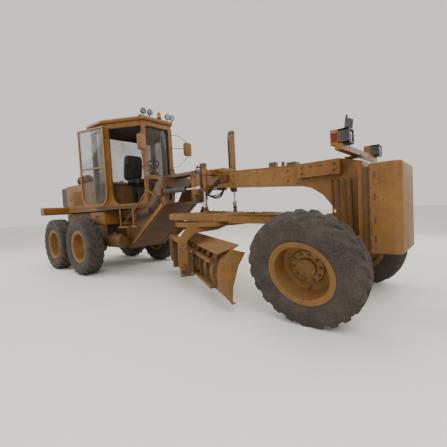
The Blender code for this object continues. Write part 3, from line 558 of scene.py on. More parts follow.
def gasket(first, second, low, high):
    # rubber glazing strip round one window opening; low and high are (along the wall, height)
    corner, loops = strip["corner"], []
    for thick in (0.0, strip["thick"]):
        loop = []
        for cx, cz, start in ((high[0], high[1], 0), (low[0], high[1], 90), (low[0], low[1], 180),
                              (high[0], low[1], 270)):
            sx, sz = (-1 if cx == high[0] else 1), (-1 if cz == high[1] else 1)
            for k in range(strip["turns"]):
                a = math.radians(start + 90 / (strip["turns"] - 1) * k)
                loop.append((cx + sx * corner + (corner - thick) * math.cos(a),
                             cz + sz * corner + (corner - thick) * math.sin(a)))
        loops.append(loop)
    points, faces, n = [], [], len(loops[0])
    for depth in (strip["inside"], strip["outside"]):
        for loop in loops:
            points += [wallPoint(first, second, s, z, depth) for s, z in loop]
    for i in range(n):
        j = (i + 1) % n
        faces += [(i, j, n + j, n + i), (2 * n + i, 3 * n + i, 3 * n + j, 2 * n + j),
                  (i, 2 * n + i, 2 * n + j, j), (n + i, n + j, 3 * n + j, 3 * n + i)]
    return points, faces


def mirroredX(spot):
    return (-spot[0], spot[1])


front, waist, back = cabPlan["front"], cabPlan["waist"], cabPlan["back"]
strips = [gasket(mirroredX(front), front, *windows["upperFront"]),
          gasket(mirroredX(front), front, *windows["lowerFront"]),
          gasket(mirroredX(back), back, *windows["rear"]),
          gasket(waist, back, *windows["corner"]),
          gasket(mirroredX(waist), mirroredX(back), *windows["corner"])]
piece("glazingStrips", joined(strips), hoseRubber, "rear_half", 40)

headliner = {"plan": [(0.28, 3.79), (0.71, 4.50), (0.75, 4.92), (-0.75, 4.92), (-0.71, 4.50), (-0.28, 3.79)],
             "low": 3.165, "high": 3.20}
headlinerFoam = mouldedBlack("headlinerFoam", "#2A2220", "#4A403A", 0.9, 120.0)  # felt-faced foam, no shine
lining = moved(slab(headliner["plan"], "z", headliner["low"], headliner["high"]), fromAxle)
piece("headliner", lining, headlinerFoam, "rear_half")

wiper = {"arm": ((0.36, 3.13, 0.018), (0.40, 2.9, 0.020), (0.50, 2.42, 0.006)), "armRadius": 0.006,
         "blade": ((0.47, 2.72, -0.002), (0.53, 2.20, -0.002)), "bladeRadius": 0.008}
arm = [wallPoint(mirroredX(front), front, *spot) for spot in wiper["arm"]]
rubber = [wallPoint(mirroredX(front), front, *spot) for spot in wiper["blade"]]
piece("windscreenWiper", joined([pipeShape(arm, wiper["armRadius"], 8), rodShape(*rubber, wiper["bladeRadius"], 8)]),
      stovedBlack, "rear_half", 40)

mirrors = {"width": 0.20, "height": 0.30, "around": 20, "square": 0.35, "border": 0.014,
           "shell": ((0.0, 0.0), (0.0, -0.018), (0.012, -0.040), (0.045, -0.050)),  # (inset, depth)
           "place": (0.60, 3.46, 2.68), "toe": 12,
           "arms": ((3.02, 0.12), (2.30, -0.12), (2.72, 0.02)), "armRadius": 0.007}  # (foot height, drop)


def mirrorHead(centre, facing):
    # pressed housing with rounded corners, glass on its rear face
    wide, tall, n = mirrors["width"] / 2, mirrors["height"] / 2, mirrors["around"]
    points, faces = [], []
    for inset, depth in mirrors["shell"]:
        for k in range(n):
            a = 2 * math.pi * k / n
            c, s = math.cos(a), math.sin(a)
            points.append(Vector((depth, math.copysign(abs(c) ** mirrors["square"], c) * (wide - inset),
                                  math.copysign(abs(s) ** mirrors["square"], s) * (tall - inset))))
    for r in range(len(mirrors["shell"]) - 1):
        for k in range(n):
            j = (k + 1) % n
            faces.append((r * n + k, r * n + j, (r + 1) * n + j, (r + 1) * n + k))
    faces += [tuple(range(n))[::-1], tuple(3 * n + k for k in range(n))]
    corners = [(c * (wide - mirrors["border"]), s * (tall - mirrors["border"]))
               for c, s in ((-1, -1), (1, -1), (1, 1), (-1, 1))]
    glass = [(x, y, z) for x in (0.001, 0.004) for y, z in corners]
    pane = (glass, [(0, 1, 2, 3), (7, 6, 5, 4), (0, 4, 5, 1), (1, 5, 6, 2), (2, 6, 7, 3), (3, 7, 4, 0)])
    place = Matrix.Translation(centre) @ Matrix.Rotation(facing, 4, "Z")
    return moved((points, faces), place), moved(pane, place)


handrail = {"route": ((0.335, 3.722, 1.72), (0.36, 3.66, 1.76), (0.36, 3.66, 2.2), (0.335, 3.722, 2.26)),
            "radius": 0.012}
for name, s in sides:
    x, y, z = mirrors["place"]
    centre = at(s * x, y, z)
    head, pane = mirrorHead(centre, math.radians(90 - s * mirrors["toe"]))
    piece(f"mirrorHousing_{name}", head, sunFadedEnamel, "rear_half", 40)
    piece(f"mirrorGlass_{name}", pane, chromedSteel, "rear_half")
    reach = centre - Vector((0, 0.02, 0))
    arms = [pipeShape([at(s * 0.352, 3.735, foot), at(s * 0.47, 3.60, foot - drop * 0.3),
                       reach + Vector((s * 0.02, 0, drop)), reach], mirrors["armRadius"], 8)
            for foot, drop in mirrors["arms"]]
    piece(f"mirrorArms_{name}", joined(arms), stovedBlack, "rear_half", 40)
    piece(f"cabHandrail_{name}", pipeShape(routeOn(s, handrail["route"]), handrail["radius"], 10), sunFadedEnamel,
          "rear_half", 40)

workLamp = {"place": (-0.36, 3.70, 2.10), "aim": (-0.55, -1, 0.02),
            "lens": [(0.118, 0.053), (0.128, 0.045), (0.132, 0.0)],
            "shell": [(0.0, 0.02), (0.0, 0.035), (0.03, 0.05), (0.10, 0.062), (0.125, 0.062), (0.125, 0.054)]}
piece("workLampShell", turnedShape(workLamp["shell"], at(*workLamp["place"]), Vector(workLamp["aim"]), 28),
      sunFadedEnamel, "rear_half", 40)
piece("workLampLens", turnedShape(workLamp["lens"], at(*workLamp["place"]), Vector(workLamp["aim"]), 28),
      lampGlass, "rear_half", 60)

roofLamp = {"x": (-0.32, -0.16, 0.30, 0.42), "y": 3.70, "z": 3.40,
            "shell": [(0.078, 0.0), (0.076, 0.028), (0.060, 0.046), (0.030, 0.060), (0.004, 0.0645), (0.0, 0.0645),
                      (0.0, 0.057), (0.012, 0.055), (0.030, 0.0)],
            "lens": [(0.001, 0.0), (0.001, 0.054), (0.008, 0.0562), (0.014, 0.0)],
            "bracket": ((-0.012, 3.30), (0.012, 3.30), (0.008, 3.345), (-0.008, 3.345))}
low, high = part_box("roof_lamps")
shells = [block((low.x + 0.002, low.y + 0.032, low.z), (high.x - 0.05, low.y + 0.060, low.z + 0.024))]
lenses = []
for x in roofLamp["x"]:
    centre = at(x, roofLamp["y"], roofLamp["z"])
    shells.append(turnedShape(roofLamp["shell"], centre, (0, 1, 0), 28))
    shells.append(slab([(x + dx, z) for dx, z in roofLamp["bracket"]], "y", centre.y + 0.03, centre.y + 0.036))
    lenses.append(turnedShape(roofLamp["lens"], centre, (0, 1, 0), 28))
beacon = {"place": (0.09, 3.74, 3.315), "foot": [(0, 0.048), (0.028, 0.048), (0.032, 0.044)],
          "dome": [(0.032, 0.0455), (0.09, 0.043), (0.13, 0.036), (0.148, 0.022), (0.153, 0.0)]}
shells.append(turnedShape(beacon["foot"], at(*beacon["place"]), (0, 0, 1), 28))
piece("roofLampShells", joined(shells), stovedBlack, "rear_half", 35, stands=["roof_lamps"])
piece("roofLampLenses", joined(lenses), lampGlass, "rear_half", 60)
piece("amberBeacon", turnedShape(beacon["dome"], at(*beacon["place"]), (0, 0, 1), 32), amberGlass, "rear_half",
      60)

doorPull = {"along": 0.76, "grip": ((-0.03, 2.02), (0.012, 2.03), (0.012, 2.16), (-0.03, 2.17)), "radius": 0.010}
for name in ("right", "left"):
    low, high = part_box(f"cab_door_{name}")
    pivot = Vector(joints[f"door_{name}_hinge"]["pos_m"])
    if name == "right":  # this one stands open
        run = Vector((low.x - pivot.x + 0.03, high.y - pivot.y)).normalized()
        out = Vector((-run.y, run.x))
    else:
        run = Vector((front[0] - waist[0], front[1] - waist[1])).normalized()
        out = Vector((0.866, -0.5))
    spot = Vector((pivot.x, pivot.y)) + run * doorPull["along"]
    grip = pipeShape([(spot.x + out.x * d, spot.y + out.y * d, z) for d, z in doorPull["grip"]], doorPull["radius"], 10)
    piece(f"doorPull_{name}", grip, stovedBlack, f"door_{name}", 40)
print("cab trimmed")

pad = {"rings": 14, "around": 48, "square": 0.38, "insets": (0.86, 0.68, 0.48, 0.26), "channel": 0.010}
seat = {"fill": 0.7, "cushion": (0.49, 0.45, 0.125), "cushionSeams": (-0.22, 0.0, 0.22), "cushionAt": (0, 4.45, 2.035),
        "back": (0.455, 0.60, 0.115), "backSeams": (-0.25, 0.0, 0.25), "backAt": (0, 4.735, 2.385), "recline": -81}


def cushionShape(width, depth, thick, seams):
    # crowned pad whose sides pull in between the corners, with sewn channels across it
    points, faces, n, rings = [], [], pad["around"], pad["rings"]
    for layer in range(rings + 1):
        t = -1 + 2 * layer / rings
        shrink = (1 - abs(t) ** 6) ** 0.5 if abs(t) < 1 else 0.0
        for k in range(n):
            a = 2 * math.pi * k / n
            c, s = math.cos(a), math.sin(a)
            x = math.copysign(abs(c) ** pad["square"], c) * (width / 2) * (0.82 + 0.18 * shrink)
            y = math.copysign(abs(s) ** pad["square"], s) * (depth / 2) * (0.82 + 0.18 * shrink)
            pull = 1 - 0.03 * (1 - (2 * abs(x) / width) ** 2) * (1 - abs(t))
            points.append(Vector((x * pull, y * pull, t * thick / 2 * 0.86)))
    for r in range(rings):
        for k in range(n):
            j = (k + 1) % n
            faces.append((r * n + k, r * n + j, (r + 1) * n + j, (r + 1) * n + k))
    for top, r in ((1, rings), (-1, 0)):
        last = [r * n + k for k in range(n)]
        for inset in pad["insets"]:
            start = len(points)
            for k in range(n):
                base = points[r * n + k]
                x, y = base.x * inset, base.y * inset
                crown = thick / 2 * (0.86 + 0.14 * math.cos(inset * math.pi / 2))
                dip = sum(math.exp(-((y - seam * depth) / pad["channel"]) ** 2) for seam in seams) * pad["channel"]
                points.append(Vector((x, y, top * (crown - dip))))
            ring = list(range(start, start + n))
            for k in range(n):
                j = (k + 1) % n
                faces.append((last[k], last[j], ring[j], ring[k]) if top > 0 else (last[j], last[k], ring[k], ring[j]))
            last = ring
        faces.append(tuple(last) if top > 0 else tuple(reversed(last)))
    return points, faces


shape = moved(cushionShape(*seat["cushion"], seat["cushionSeams"]), Matrix.Translation(at(*seat["cushionAt"])))
pads = [piece("seatCushion", shape, vinylCloth, "rear_half", 60)]
lean = Matrix.Translation(at(*seat["backAt"])) @ Matrix.Rotation(math.radians(seat["recline"]), 4, "X")
shape = moved(cushionShape(*seat["back"], seat["backSeams"]), lean)
pads.append(piece("seatBackrest", shape, vinylCloth, "rear_half", 60, stands=["operator_seat"]))
for made in pads:
    made.modifiers.new("smooth skin", "SUBSURF").render_levels = 1

seatPost = {"side": [(4.36, 1.502), (4.56, 1.502), (4.52, 1.60), (4.54, 1.93), (4.60, 1.972), (4.30, 1.972),
                     (4.37, 1.93), (4.39, 1.60)], "half": 0.13,
            "tray": ((-0.19, 4.27, 1.955), (0.19, 4.62, 1.98)), "strut": ((-0.03, 4.66, 1.96), (0.03, 4.72, 2.12))}
post = [slab(seatPost["side"], "x", -seatPost["half"], seatPost["half"]), block(*seatPost["tray"]),
        block(*seatPost["strut"])]
piece("seatPost", moved(joined(post), fromAxle), stovedBlack, "rear_half", bevel=0.006)
lever = {"count": 5, "first": -0.16, "pitch": 0.08, "radius": 0.006,
         "knob": [(0, 0.0), (0.004, 0.012), (0.02, 0.016), (0.036, 0.010), (0.04, 0.0)]}
levers = []
for k in range(lever["count"]):
    x = lever["first"] + lever["pitch"] * k
    levers += [rodShape(at(x, 3.93, 2.19), at(x, 3.99, 2.33), lever["radius"], 8),
               turnedShape(lever["knob"], at(x, 3.986, 2.325), (0, 0.4, 1), 12)]
piece("controlLevers", joined(levers), stovedBlack, "rear_half", 40)
print("seat ready")

hood = {"louvres": 13, "pitch": 0.052, "start": 6.30,
        "louvre": [(0.0, 0.0), (0.014, 0.010), (0.014, 0.016), (0.0, 0.034)],
        "seams": (5.62, 6.22, 7.05), "handles": (5.80, 6.08, 7.16),
        "boltY": (5.14, 5.56, 5.68, 6.17, 7.40), "boltZ": (1.47, 1.75, 2.02),
        "filler": [(0, 0.055), (0.03, 0.055), (0.036, 0.048), (0.04, 0.0)]}
low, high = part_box("engine_hood")
slats, seams, fit = [], [], []
for s in (-1, 1):
    wall = s * (high.x + 0.0005)
    for k in range(hood["louvres"]):
        place = Matrix.Translation(at(wall, hood["start"] + k * hood["pitch"], 0)) @ Matrix.Scale(s, 4, (1, 0, 0))
        slats.append(moved(slab(hood["louvre"], "z", 1.62, 1.98), place))
    for y in hood["seams"]:
        seams.append(block(at(wall - 0.001, y - 0.004, 1.44), at(wall + s * 0.003, y + 0.004, 2.15)))
    seams.append(block(at(wall - 0.001, 5.62, 1.515), at(wall + s * 0.003, 7.44, 1.522)))
    fit += [pipeShape([at(s * 0.50, y, 1.78), at(s * 0.523, y, 1.79), at(s * 0.523, y, 1.87), at(s * 0.50, y, 1.88)],
                      0.007, 8) for y in hood["handles"]]
    fit += [hexBolt(at(s * 0.5005, y, z), (s, 0, 0), 0.010) for y in hood["boltY"] for z in hood["boltZ"]]
fit.append(turnedShape(hood["filler"], at(0.26, 5.75, 2.16), (0, 0, 1), 24))
piece("hoodLouvres", joined(slats), sunFadedEnamel, "rear_half")
piece("hoodSeams", joined(seams), stovedBlack, "rear_half")
piece("hoodFittings", joined(fit), shadedGrimyEnamel, "rear_half", 35)
lid = [slab([(5.70, 2.1635), (6.14, 2.1655), (6.14, 2.172), (5.70, 2.1705)], "x", -0.30, 0.12),
       slab([(6.22, 2.167), (6.56, 2.168), (6.56, 2.175), (6.22, 2.174)], "x", -0.34, 0.34)]
piece("hoodTopHatches", moved(joined(lid), fromAxle), sunFadedEnamel, "rear_half", bevel=0.003)

silencer = {"radius": 0.140, "end": [(0.0, 0.0), (0.004, 0.06), (0.012, 0.104), (0.030, 0.128), (0.050, 0.1365)],
            "bands": (0.12, 0.44), "bandWidth": 0.035}
low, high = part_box("air_cleaner")
mid = (low + high) / 2
start = Vector((mid.x, low.y, high.z - silencer["radius"]))
length = high.y - low.y
drumLine = silencer["end"] + [(length - t, r) for t, r in reversed(silencer["end"])]
drum = [turnedShape(drumLine, start, (0, 1, 0), 48)]
for t in silencer["bands"]:
    t2 = t + silencer["bandWidth"]
    drum.append(ringShape([(t, 0.130), (t, 0.140), (t2, 0.140), (t2, 0.130)], start, (0, 1, 0), 48))
    drum.append(slab([(mid.x - 0.06, low.z), (mid.x + 0.06, low.z), (mid.x + 0.09, low.z + 0.05),
                      (mid.x - 0.09, low.z + 0.05)], "y", start.y + t, start.y + t2))
for t in (0.05, length - 0.06):  # rolled seams at both ends
    drum.append(ringShape([(t, 0.130), (t + 0.005, 0.139), (t + 0.01, 0.130)], start, (0, 1, 0), 48))
piece("exhaustSilencer", joined(drum), rustedSteel, "rear_half", 35, stands=["air_cleaner"])
stub = turnedShape([(0.0, 0.045), (0.11, 0.045), (0.11, 0.039), (0.0, 0.039)],
                   Vector((mid.x + 0.05, low.y + 0.40, mid.z - 0.03)), (1, 0, 0.0), 28)
piece("silencerStub", stub, rustedSteel, "rear_half", 35)

grille = {"bars": 17, "pitch": 0.0283, "thick": 0.011, "rail": 0.015}
low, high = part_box("radiator_housing")
bars = []
for k in range(grille["bars"]):
    z = low.z + 0.055 + k * grille["pitch"]
    bars.append(block((low.x + 0.07, high.y - 0.012, z), (high.x - 0.07, high.y + 0.0015, z + grille["thick"])))
for x in (low.x + 0.06, -0.006, high.x - 0.075):
    bars.append(block((x, high.y - 0.012, low.z + 0.045), (x + grille["rail"], high.y + 0.004, high.z - 0.045)))
for z in (low.z + 0.040, high.z - 0.055):
    bars.append(block((low.x + 0.06, high.y - 0.012, z), (high.x - 0.06, high.y + 0.004, z + grille["rail"])))
piece("radiatorGrille", joined(bars), scouredSteel, "rear_half", bevel=0.002, steps=1)

tailLamp = {"x": 0.94, "half": (0.10, 0.045), "apart": 0.05,
            "lens": [(0.0, 0.034), (0.020, 0.034), (0.028, 0.024), (0.031, 0.0)]}
low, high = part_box("rear_bumper")
mid = (low + high) / 2
shells, glows = [], []
for s in (-1, 1):
    x, (wide, tall) = s * tailLamp["x"], tailLamp["half"]
    shells.append(slab([(x - wide, mid.z - tall), (x + wide, mid.z - tall), (x + wide, mid.z + tall),
                        (x - wide, mid.z + tall)], "y", high.y - 0.002, high.y + 0.016))
    glows += [turnedShape(tailLamp["lens"], (x + d, high.y + 0.015, mid.z), (0, 1, 0), 24)
              for d in (tailLamp["apart"], -tailLamp["apart"])]
piece("tailLampShells", joined(shells), stovedBlack, "rear_half", bevel=0.004)
piece("tailLampLenses", joined(glows), redGlass, "rear_half", 50)
print("engine bay detailed")

frameBolts = {"x": 0.4203, "radius": 0.016,
              "spots": ((3.18, 1.82), (3.24, 1.55), (3.32, 1.42), (3.60, 1.32), (3.86, 1.20), (4.2, 1.32), (4.9, 1.34),
                        (5.6, 1.34), (6.3, 1.34), (7.0, 1.34), (7.5, 1.30), (7.5, 1.02), (6.62, 0.72), (6.3, 0.66),
                        (5.5, 0.64), (4.6, 0.64))}
heads = [hexBolt(at(s * frameBolts["x"], y, z), (s, 0, 0), frameBolts["radius"])
         for s in (-1, 1) for y, z in frameBolts["spots"]]
piece("frameBolts", joined(heads), shadedGrimyEnamel, "rear_half", 30)
frameRibs = {"x": (0.4202, 0.446), "outlines": (
    [(3.10, 1.44), (4.22, 0.64), (4.27, 0.68), (3.15, 1.50)], [(4.40, 1.30), (4.43, 1.30), (4.43, 0.62), (4.40, 0.62)],
    [(5.30, 1.30), (5.33, 1.30), (5.33, 0.84), (5.30, 0.84)], [(6.70, 1.30), (6.73, 1.30), (6.73, 0.84), (6.70, 0.84)])}
ribs = [slab(outline, "x", *span(s, *frameRibs["x"])) for s in (-1, 1) for outline in frameRibs["outlines"]]
piece("frameRibs", moved(joined(ribs), fromAxle), sunFadedEnamel, "rear_half", bevel=0.004)

pipes = {"count": 4, "rise": 0.035, "radius": 0.0085, "clips": ((4.58, 1.22), (3.98, 1.27), (3.52, 1.40))}
lines = []
for s in (-1, 1):
    for k in range(pipes["count"]):
        x = s * (0.462 + 0.018 * (k % 2))
        z = pipes["rise"] * k
        lines.append(pipeShape([at(x, 5.02, 1.22 - z * 0.7), at(x, 4.62, 1.22 - z * 0.7), at(x, 4.05, 1.25 - z * 0.6),
                                at(x, 3.62, 1.33 - z * 0.8), at(x, 3.30, 1.53 - z), at(x - s * 0.02, 3.19, 1.60 - z)],
                               pipes["radius"], 8))
piece("hydraulicPipes", joined(lines), hoseRubber, "rear_half", 50)
clips = []
for s in (-1, 1):
    near, far = span(s, 0.4205, 0.50)
    clips += [block(at(near, y, z - 0.085), at(far, y + 0.03, z + 0.03)) for y, z in pipes["clips"]]
piece("pipeClips", joined(clips), shadedGrimyEnamel, "rear_half", bevel=0.005)

climbingRail = {"route": ((-0.06, 4.42, 1.10), (0, 4.38, 1.13), (0, 3.85, 1.48), (0, 3.52, 1.72), (-0.02, 3.44, 1.74),
                          (-0.06, 3.36, 1.66), (-0.075, 3.30, 1.60)), "x": 0.52, "radius": 0.014}
stepGrip = {"ridges": 9, "pitch": 0.038, "x": (0.668, 0.756), "low": 1.0602, "high": 1.067}
for name, s in sides:
    x = s * climbingRail["x"]
    rail = pipeShape([at(x + s * dx, y, z) for dx, y, z in climbingRail["route"]], climbingRail["radius"], 10)
    piece(f"climbingRail_{name}", rail, sunFadedEnamel, "rear_half", 50)
    near, far = span(s, *stepGrip["x"])
    grip = []
    for k in range(stepGrip["ridges"]):
        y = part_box(f"boarding_step_{name}")[0].y + 0.20 + k * stepGrip["pitch"]
        grip.append(block((near, y, stepGrip["low"]), (far, y + 0.012, stepGrip["high"])))
    piece(f"stepGrip_{name}", joined(grip), scouredSteel, "rear_half", bevel=0.002, steps=1)

tank = {"x": -0.62, "z": 0.74, "band": [(0, 0.149), (0, 0.1545), (0.04, 0.1545), (0.04, 0.149)], "bands": (4.42, 4.86),
        "cap": [(0.0, 0.03), (0.03, 0.03), (0.036, 0.024), (0.036, 0.0)]}
bands = [ringShape(tank["band"], at(tank["x"], y, tank["z"]), (0, 1, 0), 40) for y in tank["bands"]]
bands.append(rodShape(at(tank["x"], 4.305, tank["z"]), at(tank["x"], 4.286, tank["z"]), 0.022, 16))
bands.append(turnedShape(tank["cap"], at(tank["x"], 4.64, 0.887), (0, 0, 1), 24))
piece("tankBands", joined(bands), shadedGrimyEnamel, "rear_half", 35)

batteryLid = {"handle": ((0.002, -0.06, 0.08), (0.028, -0.05, 0.085), (0.028, 0.05, 0.085), (0.002, 0.06, 0.08)),
              "radius": 0.007, "bolt": 0.009}
low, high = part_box("battery_box")
middle = (low.y + high.y) / 2
fit = [pipeShape([(low.x - x, middle + y, high.z - z) for x, y, z in batteryLid["handle"]], batteryLid["radius"], 8)]
fit += [hexBolt((low.x - 0.0005, y, z), (-1, 0, 0), batteryLid["bolt"])
        for y in (low.y + 0.04, high.y - 0.04) for z in (low.z + 0.04, high.z - 0.06)]
piece("batteryBoxFittings", joined(fit), stovedBlack, "rear_half", 35)

chainCase = {"x": 0.8003, "axle": (6.01, 0.6365), "halfBase": 0.73, "ring": 0.150, "hubBolts": 10,
             "plate": [(5.62, 0.55), (6.40, 0.55), (6.40, 0.73), (5.62, 0.73)], "thick": 0.010, "plateFace": 0.8105}
covers, plates = [], []
for s in (-1, 1):
    side, (y, z) = s * chainCase["x"], chainCase["axle"]
    covers += [boltRing(at(side, y + e * chainCase["halfBase"], z), (s, 0, 0), chainCase["ring"],
                        chainCase["hubBolts"], 0.012) for e in (-1, 1)]
    outer = side + s * chainCase["thick"]
    covers.append(moved(slab(chainCase["plate"], "x", min(side, outer), max(side, outer)), fromAxle))
    plates.append(boltRing(at(s * chainCase["plateFace"], y, 0.64), (s, 0, 0), 0.07, 6, 0.011))
plates += [hexBolt(at(s * chainCase["plateFace"], y, z), (s, 0, 0), 0.010)
           for s in (-1, 1) for y in (5.66, 6.36) for z in (0.575, 0.705)]
piece("chainCaseCovers", joined(covers + plates), shadedGrimyEnamel, "rear_half", 30)
print("rear half detailed")

hinge = {"y": 2.55, "ring": 0.10, "bolts": 8, "cap": [(0, 0.078), (0.016, 0.078), (0.022, 0.07), (0.022, 0.0)],
         "collar": [(0, 0.149), (0, 0.1585), (0.035, 0.1585), (0.035, 0.149)], "collars": (1.515, 1.925)}
hub = at(0, hinge["y"], 0)
cap = [boltRing((hub.x, hub.y, 2.0452), (0, 0, 1), hinge["ring"], hinge["bolts"], 0.014),
       turnedShape(hinge["cap"], (hub.x, hub.y, 2.045), (0, 0, 1), 36)]
piece("hingePinCap", joined(cap), shadedGrimyEnamel, "rear_half", 35)
collars = [ringShape(hinge["collar"], (hub.x, hub.y, z), (0, 0, 1), 48) for z in hinge["collars"]]
piece("hingeCollars", joined(collars), shadedGrimyEnamel, "front_half", 35)

hoseLoops = {"radius": 0.0115, "ends": ((-0.235, 0.10), (-0.205, 0.05), (-0.175, 0.0), (0.175, 0.0), (0.205, 0.06),
                                        (0.235, 0.11))}  # (where it crosses the hinge, how far it sags)
loops = []
for x, sag in hoseLoops["ends"]:
    s = -1 if x < 0 else 1
    loops.append(pipeShape([at(s * 0.141, 1.74, 1.84), at(s * 0.156, 1.84, 1.85 - sag * 0.5),
                            at(s * 0.156, 2.04, 1.74 - sag * 0.5), at(s * 0.18, 2.16, 1.61 - sag * 0.5),
                            at(x, 2.36, 1.57 - sag * 0.4), at(s * 0.155, 2.50, 1.60)], hoseLoops["radius"], 8))
piece("hingeHoses", joined(loops), hoseRubber, "front_half", 60)

valves = {"side": (0.1405, 0.19), "top": (((-0.10, 0.52, 1.865), (0.06, 0.66, 1.925)),
                                          ((-0.06, 0.72, 1.875), (-0.02, 0.76, 1.955)),
                                          ((0.02, 0.90, 1.885), (0.10, 1.02, 1.985)))}
blocks = []
for s in (-1, 1):
    near, far = span(s, *valves["side"])
    blocks.append(block(at(near, 1.70, 1.76), at(far, 1.86, 1.88)))
blocks += [block(at(*first), at(*last)) for first, last in valves["top"]]
piece("valveBlocks", joined(blocks), shadedGrimyEnamel, "front_half", bevel=0.006)

neckPipe = {"count": 5, "first": -0.30, "pitch": 0.075, "radius": 0.011}
drops = []
for k in range(neckPipe["count"]):
    y = neckPipe["first"] + neckPipe["pitch"] * k
    drops += [pipeShape([at(s * 0.143, y, 1.60), at(s * 0.158, y, 1.56), at(s * 0.158, y - 0.005, 1.30),
                         at(s * 0.158, y - 0.01, 1.02), at(s * 0.150, y + 0.03, 0.92), at(s * 0.143, y + 0.07, 0.90)],
                        neckPipe["radius"], 8) for s in (-1, 1)]
piece("neckPipes", joined(drops), shadedGrimyEnamel, "front_half", 60)

neckBolts = {"cheek": ((-0.06, 1.80), (0.10, 1.80), (0.24, 1.80), (0.36, 1.80), (-0.06, 1.72), (0.36, 1.72)),
             "post": (0.86, 1.02, 1.18, 1.34, 1.50, 1.66),
             "beam": ((0.62, 1.66), (0.62, 1.80), (1.60, 1.72), (1.60, 1.84), (2.2, 1.76), (2.2, 1.88))}
heads = []
for s in (-1, 1):
    heads += [hexBolt(at(s * 0.2403, y, z), (s, 0, 0), 0.013) for y, z in neckBolts["cheek"]]
    heads += [hexBolt(at(s * 0.305, -0.354, z), (0, 1, 0), 0.016) for z in neckBolts["post"]]
    heads += [hexBolt(at(s * 0.1405, y, z), (s, 0, 0), 0.012) for y, z in neckBolts["beam"]]
piece("neckBolts", joined(heads), shadedGrimyEnamel, "front_half", 30)

flange = {"x": (0.14, 0.147), "seam": [(0.55, 1.588), (0.565, 1.589), (0.565, 1.862), (0.55, 1.861)],
          "lower": [(0.50, 1.578), (2.12, 1.695), (2.12, 1.712), (0.50, 1.594)],
          "upper": [(0.50, 1.852), (2.40, 1.958), (2.40, 1.972), (0.50, 1.866)]}
plates = [slab(flange["seam"], "x", s * 0.1402 - 0.002, s * 0.1402 + 0.002) for s in (-1, 1)]
plates += [slab(flange[edge], "x", *span(s, *flange["x"])) for edge in ("lower", "upper") for s in (-1, 1)]
piece("beamFlanges", moved(joined(plates), fromAxle), sunFadedEnamel, "front_half", bevel=0.003,
      steps=1)

pushBlock = {"round": 0.085, "rows": 12, "depth": 0.3145, "inset": 0.04, "slots": (0.86, 1.06, 1.32, 1.56),
             "slotX": (0.4185, 0.4205), "boltX": 0.415, "bolts": (0.82, 1.0, 1.22, 1.46, 1.66)}


def pushBlockShape(low, high):
    # cast block: flat front and rear, vertical edges well rounded, top and bottom edges eased
    rear, r, outline = low.y + pushBlock["depth"], pushBlock["round"], []
    for cx, sx, start in ((low.x, 1, 180), (high.x, -1, 270)):
        for k in range(pushBlock["rows"] + 1):
            a = math.radians(start + 90 * k / pushBlock["rows"])
            outline.append((cx + sx * r + r * math.cos(a), low.y + r + r * math.sin(a)))
    outline += [(high.x, rear), (low.x, rear)]
    casting = slab(outline, "z", low.z + 0.0005, high.z - 0.0005)
    inset = pushBlock["inset"]
    plate = block((low.x + inset, rear - 0.004, low.z + 0.03), (high.x - inset, high.y, high.z - 0.03))
    return casting, plate


low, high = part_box("push_block")
casting, plate = pushBlockShape(low, high)
piece("pushBlockCasting", casting, sunFadedEnamel, "front_half", bevel=0.022, steps=4,
      stands=["push_block"])
piece("pushBlockBackplate", plate, shadedGrimyEnamel, "front_half", bevel=0.004)
slots, heads = [], []
for s in (-1, 1):
    near, far = span(s, *pushBlock["slotX"])
    slots += [block((near, low.y + 0.245, z), (far, low.y + 0.262, z + 0.075)) for z in pushBlock["slots"]]
    heads += [hexBolt((s * pushBlock["boltX"], low.y + 0.30, z), (s, 0, 0), 0.012) for z in pushBlock["bolts"]]
piece("blockSlots", joined(slots), stovedBlack, "front_half")
piece("blockBolts", joined(heads), shadedGrimyEnamel, "front_half", 30)

headlamp = {"place": (0.64, -0.38, 2.0025), "wide": 0.086, "tall": 0.078, "border": 0.022, "front": 0.014, "back": 0.10,
            "lens": [(0.0, 0.052), (0.004, 0.052), (0.010, 0.03), (0.012, 0.0)]}
bezels, glows, marks = [], [], []
for s in (-1, 1):
    x, y, z = headlamp["place"]
    c = at(s * x, y, z)
    wide, tall, border = headlamp["wide"], headlamp["tall"], headlamp["border"]
    near, far = c.y - headlamp["front"], c.y + headlamp["back"]
    bezels += [block((c.x - wide, near, c.z - tall), (c.x - wide + border, far, c.z + tall)),
               block((c.x + wide - border, near, c.z - tall), (c.x + wide, far, c.z + tall)),
               block((c.x - wide, near, c.z + tall - border), (c.x + wide, far, c.z + tall)),
               block((c.x - wide, near, c.z - tall), (c.x + wide, far, c.z - tall + border))]
    glows.append(turnedShape(headlamp["lens"], c, (0, -1, 0), 32))
    marks.append(block((c.x + s * 0.0855, c.y + 0.105, c.z - 0.05), (c.x + s * 0.090, c.y + 0.170, c.z + 0.05)))
piece("headlampBezels", joined(bezels), stovedBlack, "front_half", bevel=0.004)
piece("headlampLenses", joined(glows), lampGlass, "front_half", 60)
piece("sideReflectors", joined(marks), redGlass, "front_half", bevel=0.003)

blockMirror = {"heads": ((-0.49, 0.35), (-0.37, -0.20)), "y": -0.29, "tilt": 0.14, "half": (0.068, 0.011, 0.108)}
stalks, panes = [], []
for x, turn in blockMirror["heads"]:
    stalks.append(rodShape(at(x, blockMirror["y"], 1.925), at(x, blockMirror["y"], 2.10), 0.0065, 10))
    place = (Matrix.Translation(at(x - 0.01, blockMirror["y"], 2.150)) @ Matrix.Rotation(turn, 4, "Z")
             @ Matrix.Rotation(blockMirror["tilt"], 4, "X"))
    panes.append(moved(block([-h for h in blockMirror["half"]], blockMirror["half"]), place))
piece("blockMirrorStalks", joined(stalks), stovedBlack, "front_half", 40)
piece("blockMirrorHeads", joined(panes), stovedBlack, "front_half", bevel=0.008)
print("gooseneck detailed")

